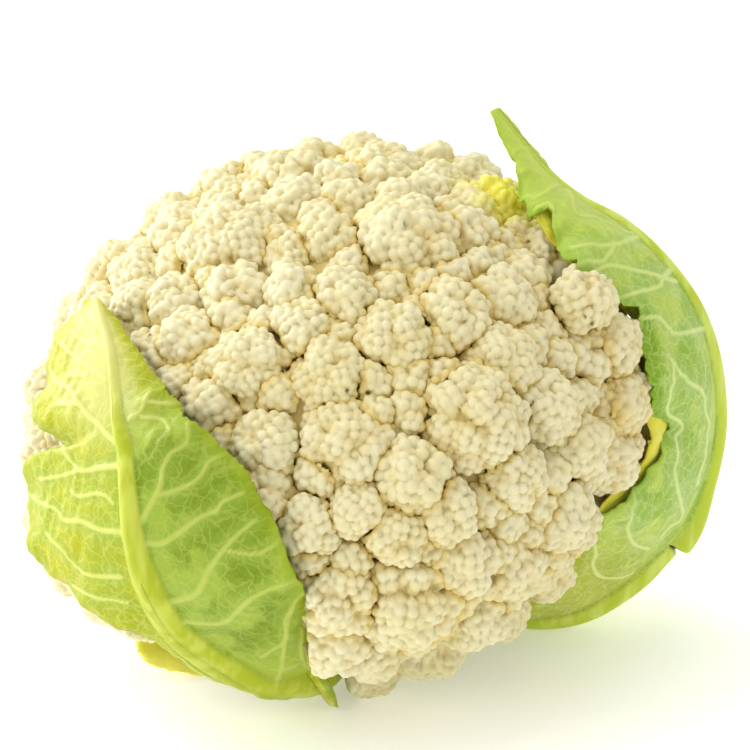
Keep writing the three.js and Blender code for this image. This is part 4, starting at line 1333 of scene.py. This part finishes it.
def right_leaf_lines(grid):
    """The veins that the front shows, and others by rule on the half behind the midrib."""
    just_past_the_rib = grid["out"].shape[1] // 2 + 4
    traced = traced_veins(grid, RIGHT_LEAF_VEINS, just_past_the_rib)
    ruled = rule_veins(grid, spacing=13, sides=(1,), start=0.2, stop=0.93, half_width=0.8, seed=SEED + 4)
    return traced + ruled


def small_leaf_lines(grid):
    """A small leaf's veins, all by rule."""
    return rule_veins(grid, spacing=11, sides=(-1, 1), start=0.1, stop=0.9, half_width=0.7, seed=SEED + 8)


def snapped_rib(grid, rib):
    """How the snapped midrib's halves stand to each other, and where the torn flesh shows."""
    beyond = grid["s"] - CRACK_AT - CRACK_SLANT * grid["signed"]
    upper = CRACK_STEP * ramp(-0.001, 0.002, beyond) * (1 - ramp(0.0, 0.09, beyond))
    lower = -0.5 * CRACK_STEP * (1 - ramp(-0.003, 0.0, beyond)) * ramp(-0.06, 0.0, beyond)
    groove = np.exp(-(beyond / CRACK_WIDE) ** 2) * ramp(0.1, 0.5, rib)
    return (upper + lower) * rib - CRACK_DEEP * groove, groove


def press_under_leaves(points, tree):
    """Draws points in under the leaves that lie over them, seen from the head's centre."""
    too_deep = 20
    far = np.linalg.norm(points, axis=1)
    moved = points.copy()
    origin = Vector((0, 0, 0))
    for i, (p, distance) in enumerate(zip(points, far)):
        if distance > too_deep:
            hit = tree.ray_cast(origin, Vector(p / distance), distance + LEAF_GAP)
            if hit[0] is not None:
                moved[i] = p / distance * (hit[3] - LEAF_GAP)
    return moved


def leaf_tree(bodies):
    """A search tree of the leaves' four-cornered faces, for rays."""
    body = join_bodies([{key: b[key] for key in ("points", "quads", "triangles")} for b in bodies])
    return BVHTree.FromPolygons([Vector(p) for p in body["points"]], body["quads"].tolist())


def mark_curd(body):
    """Lays the yellow stain and the brown specks on a body of florets."""
    p = body["points"]
    right, up, radius = STAIN
    away = np.linalg.norm(p - on_line_of_sight(right, up, 0), axis=1) / radius
    body["stain"] = STAIN_STRENGTH * (1 - ramp(0.2, 1, away + 0.15 * wobble(p, 8, SEED)))
    body["speck"] = np.zeros(len(p))
    seen = as_seen(p)
    for right, up, radius in SPECKS:
        away = np.linalg.norm(seen - [right, up], axis=1) / radius
        speck = (1 - ramp(0.4, 1.0, away)) * (p @ TO_EYE > 0)
        body["speck"] = np.maximum(body["speck"], speck)


def curd_bodies(tree):
    """All florets that show, pressed under the leaves, in groups that each stay under PIECE_TRIANGLES
    triangles.
    """
    centres, radii = floret_spots()
    turn = np.arctan2(centres @ BACK_LEFT, centres @ UPHILL)
    groups = [[core_body()]]
    for which in np.argsort(turn):
        step = floret_step(centres[which], radii[which], tree)
        if which >= len(FLORETS) + len(PLACED_FLORETS):
            step *= FILLER_STEP_SCALE
        body = floret_body(which, centres, radii, step)
        if body is None:
            continue
        if sum(triangle_count(b) for b in groups[-1]) + triangle_count(body) > PIECE_TRIANGLES:
            groups.append([])
        groups[-1].append(body)
    joined = []
    for group in groups:
        body = join_bodies(group)
        body["points"] = press_under_leaves(body["points"], tree)
        body["points"][:, 2] = np.maximum(body["points"][:, 2], TABLE + TABLE_GAP)
        mark_curd(body)
        joined.append(body)
    return joined


camera()
studio()

# Leaf bodies
left = leaf_body(LEFT_LEAF, rows=330, rib_columns=12, cells=69, seed=1, lines=left_leaf_lines)
strip = leaf_body(TORN_STRIP, rows=42, rib_columns=3, cells=6, seed=2)
right = leaf_body(RIGHT_LEAF, rows=360, rib_columns=9, cells=57, seed=3, lines=right_leaf_lines,
                  rib_change=snapped_rib)
inner = leaf_body(RIGHT_INNER_LEAF, rows=120, rib_columns=5, cells=22, seed=4, lines=small_leaf_lines)
low_left = leaf_body(LOW_LEFT_LEAF, rows=60, rib_columns=5, cells=16, seed=5, lines=small_leaf_lines)
stubs = [leaf_body(stub_leaf(stub), rows=42, rib_columns=10, cells=5, seed=6 + i)
         for i, stub in enumerate(STUBS)]

# Materials
green = leaf_material("leaf_green", GREEN_LOOKS)
cool = leaf_material("leaf_cool_green", COOL_GREEN_LOOKS)
yellow = leaf_material("leaf_yellow", YELLOW_LOOKS)
# The yellow made lighter as painted light for the low left leaf, which lies in shade.
lit_yellow = leaf_material("leaf_lit_yellow", LIT_YELLOW_LOOKS)
pale = stalk_material()
curd_skin = curd_material()

# Pieces
make_piece("leaf_left_fine", join_bodies([left, strip]), green, "leaf", "leaf_left")
make_piece("leaf_right_fine", right, cool, "leaf", "leaf_right")
make_piece("leaf_right_inner_fine", inner, yellow, "yellow_leaf", "leaf_right_inner")
make_piece("leaf_low_left_fine", low_left, lit_yellow, "yellow_leaf", "leaf_low_left")
for i, stub in enumerate(stubs):
    make_piece(f"petiole_stub_{i + 1}_fine", stub, pale, "stalk", f"petiole_stub_{i + 1}")
make_piece("stalk_fine", stalk_body(), pale, "stalk", "stalk")

leaves = leaf_tree([left, strip, right, inner, low_left, *stubs])
for i, body in enumerate(curd_bodies(leaves)):
    make_piece(f"curd_part_{i + 1}", body, curd_skin, "curd", "curd")
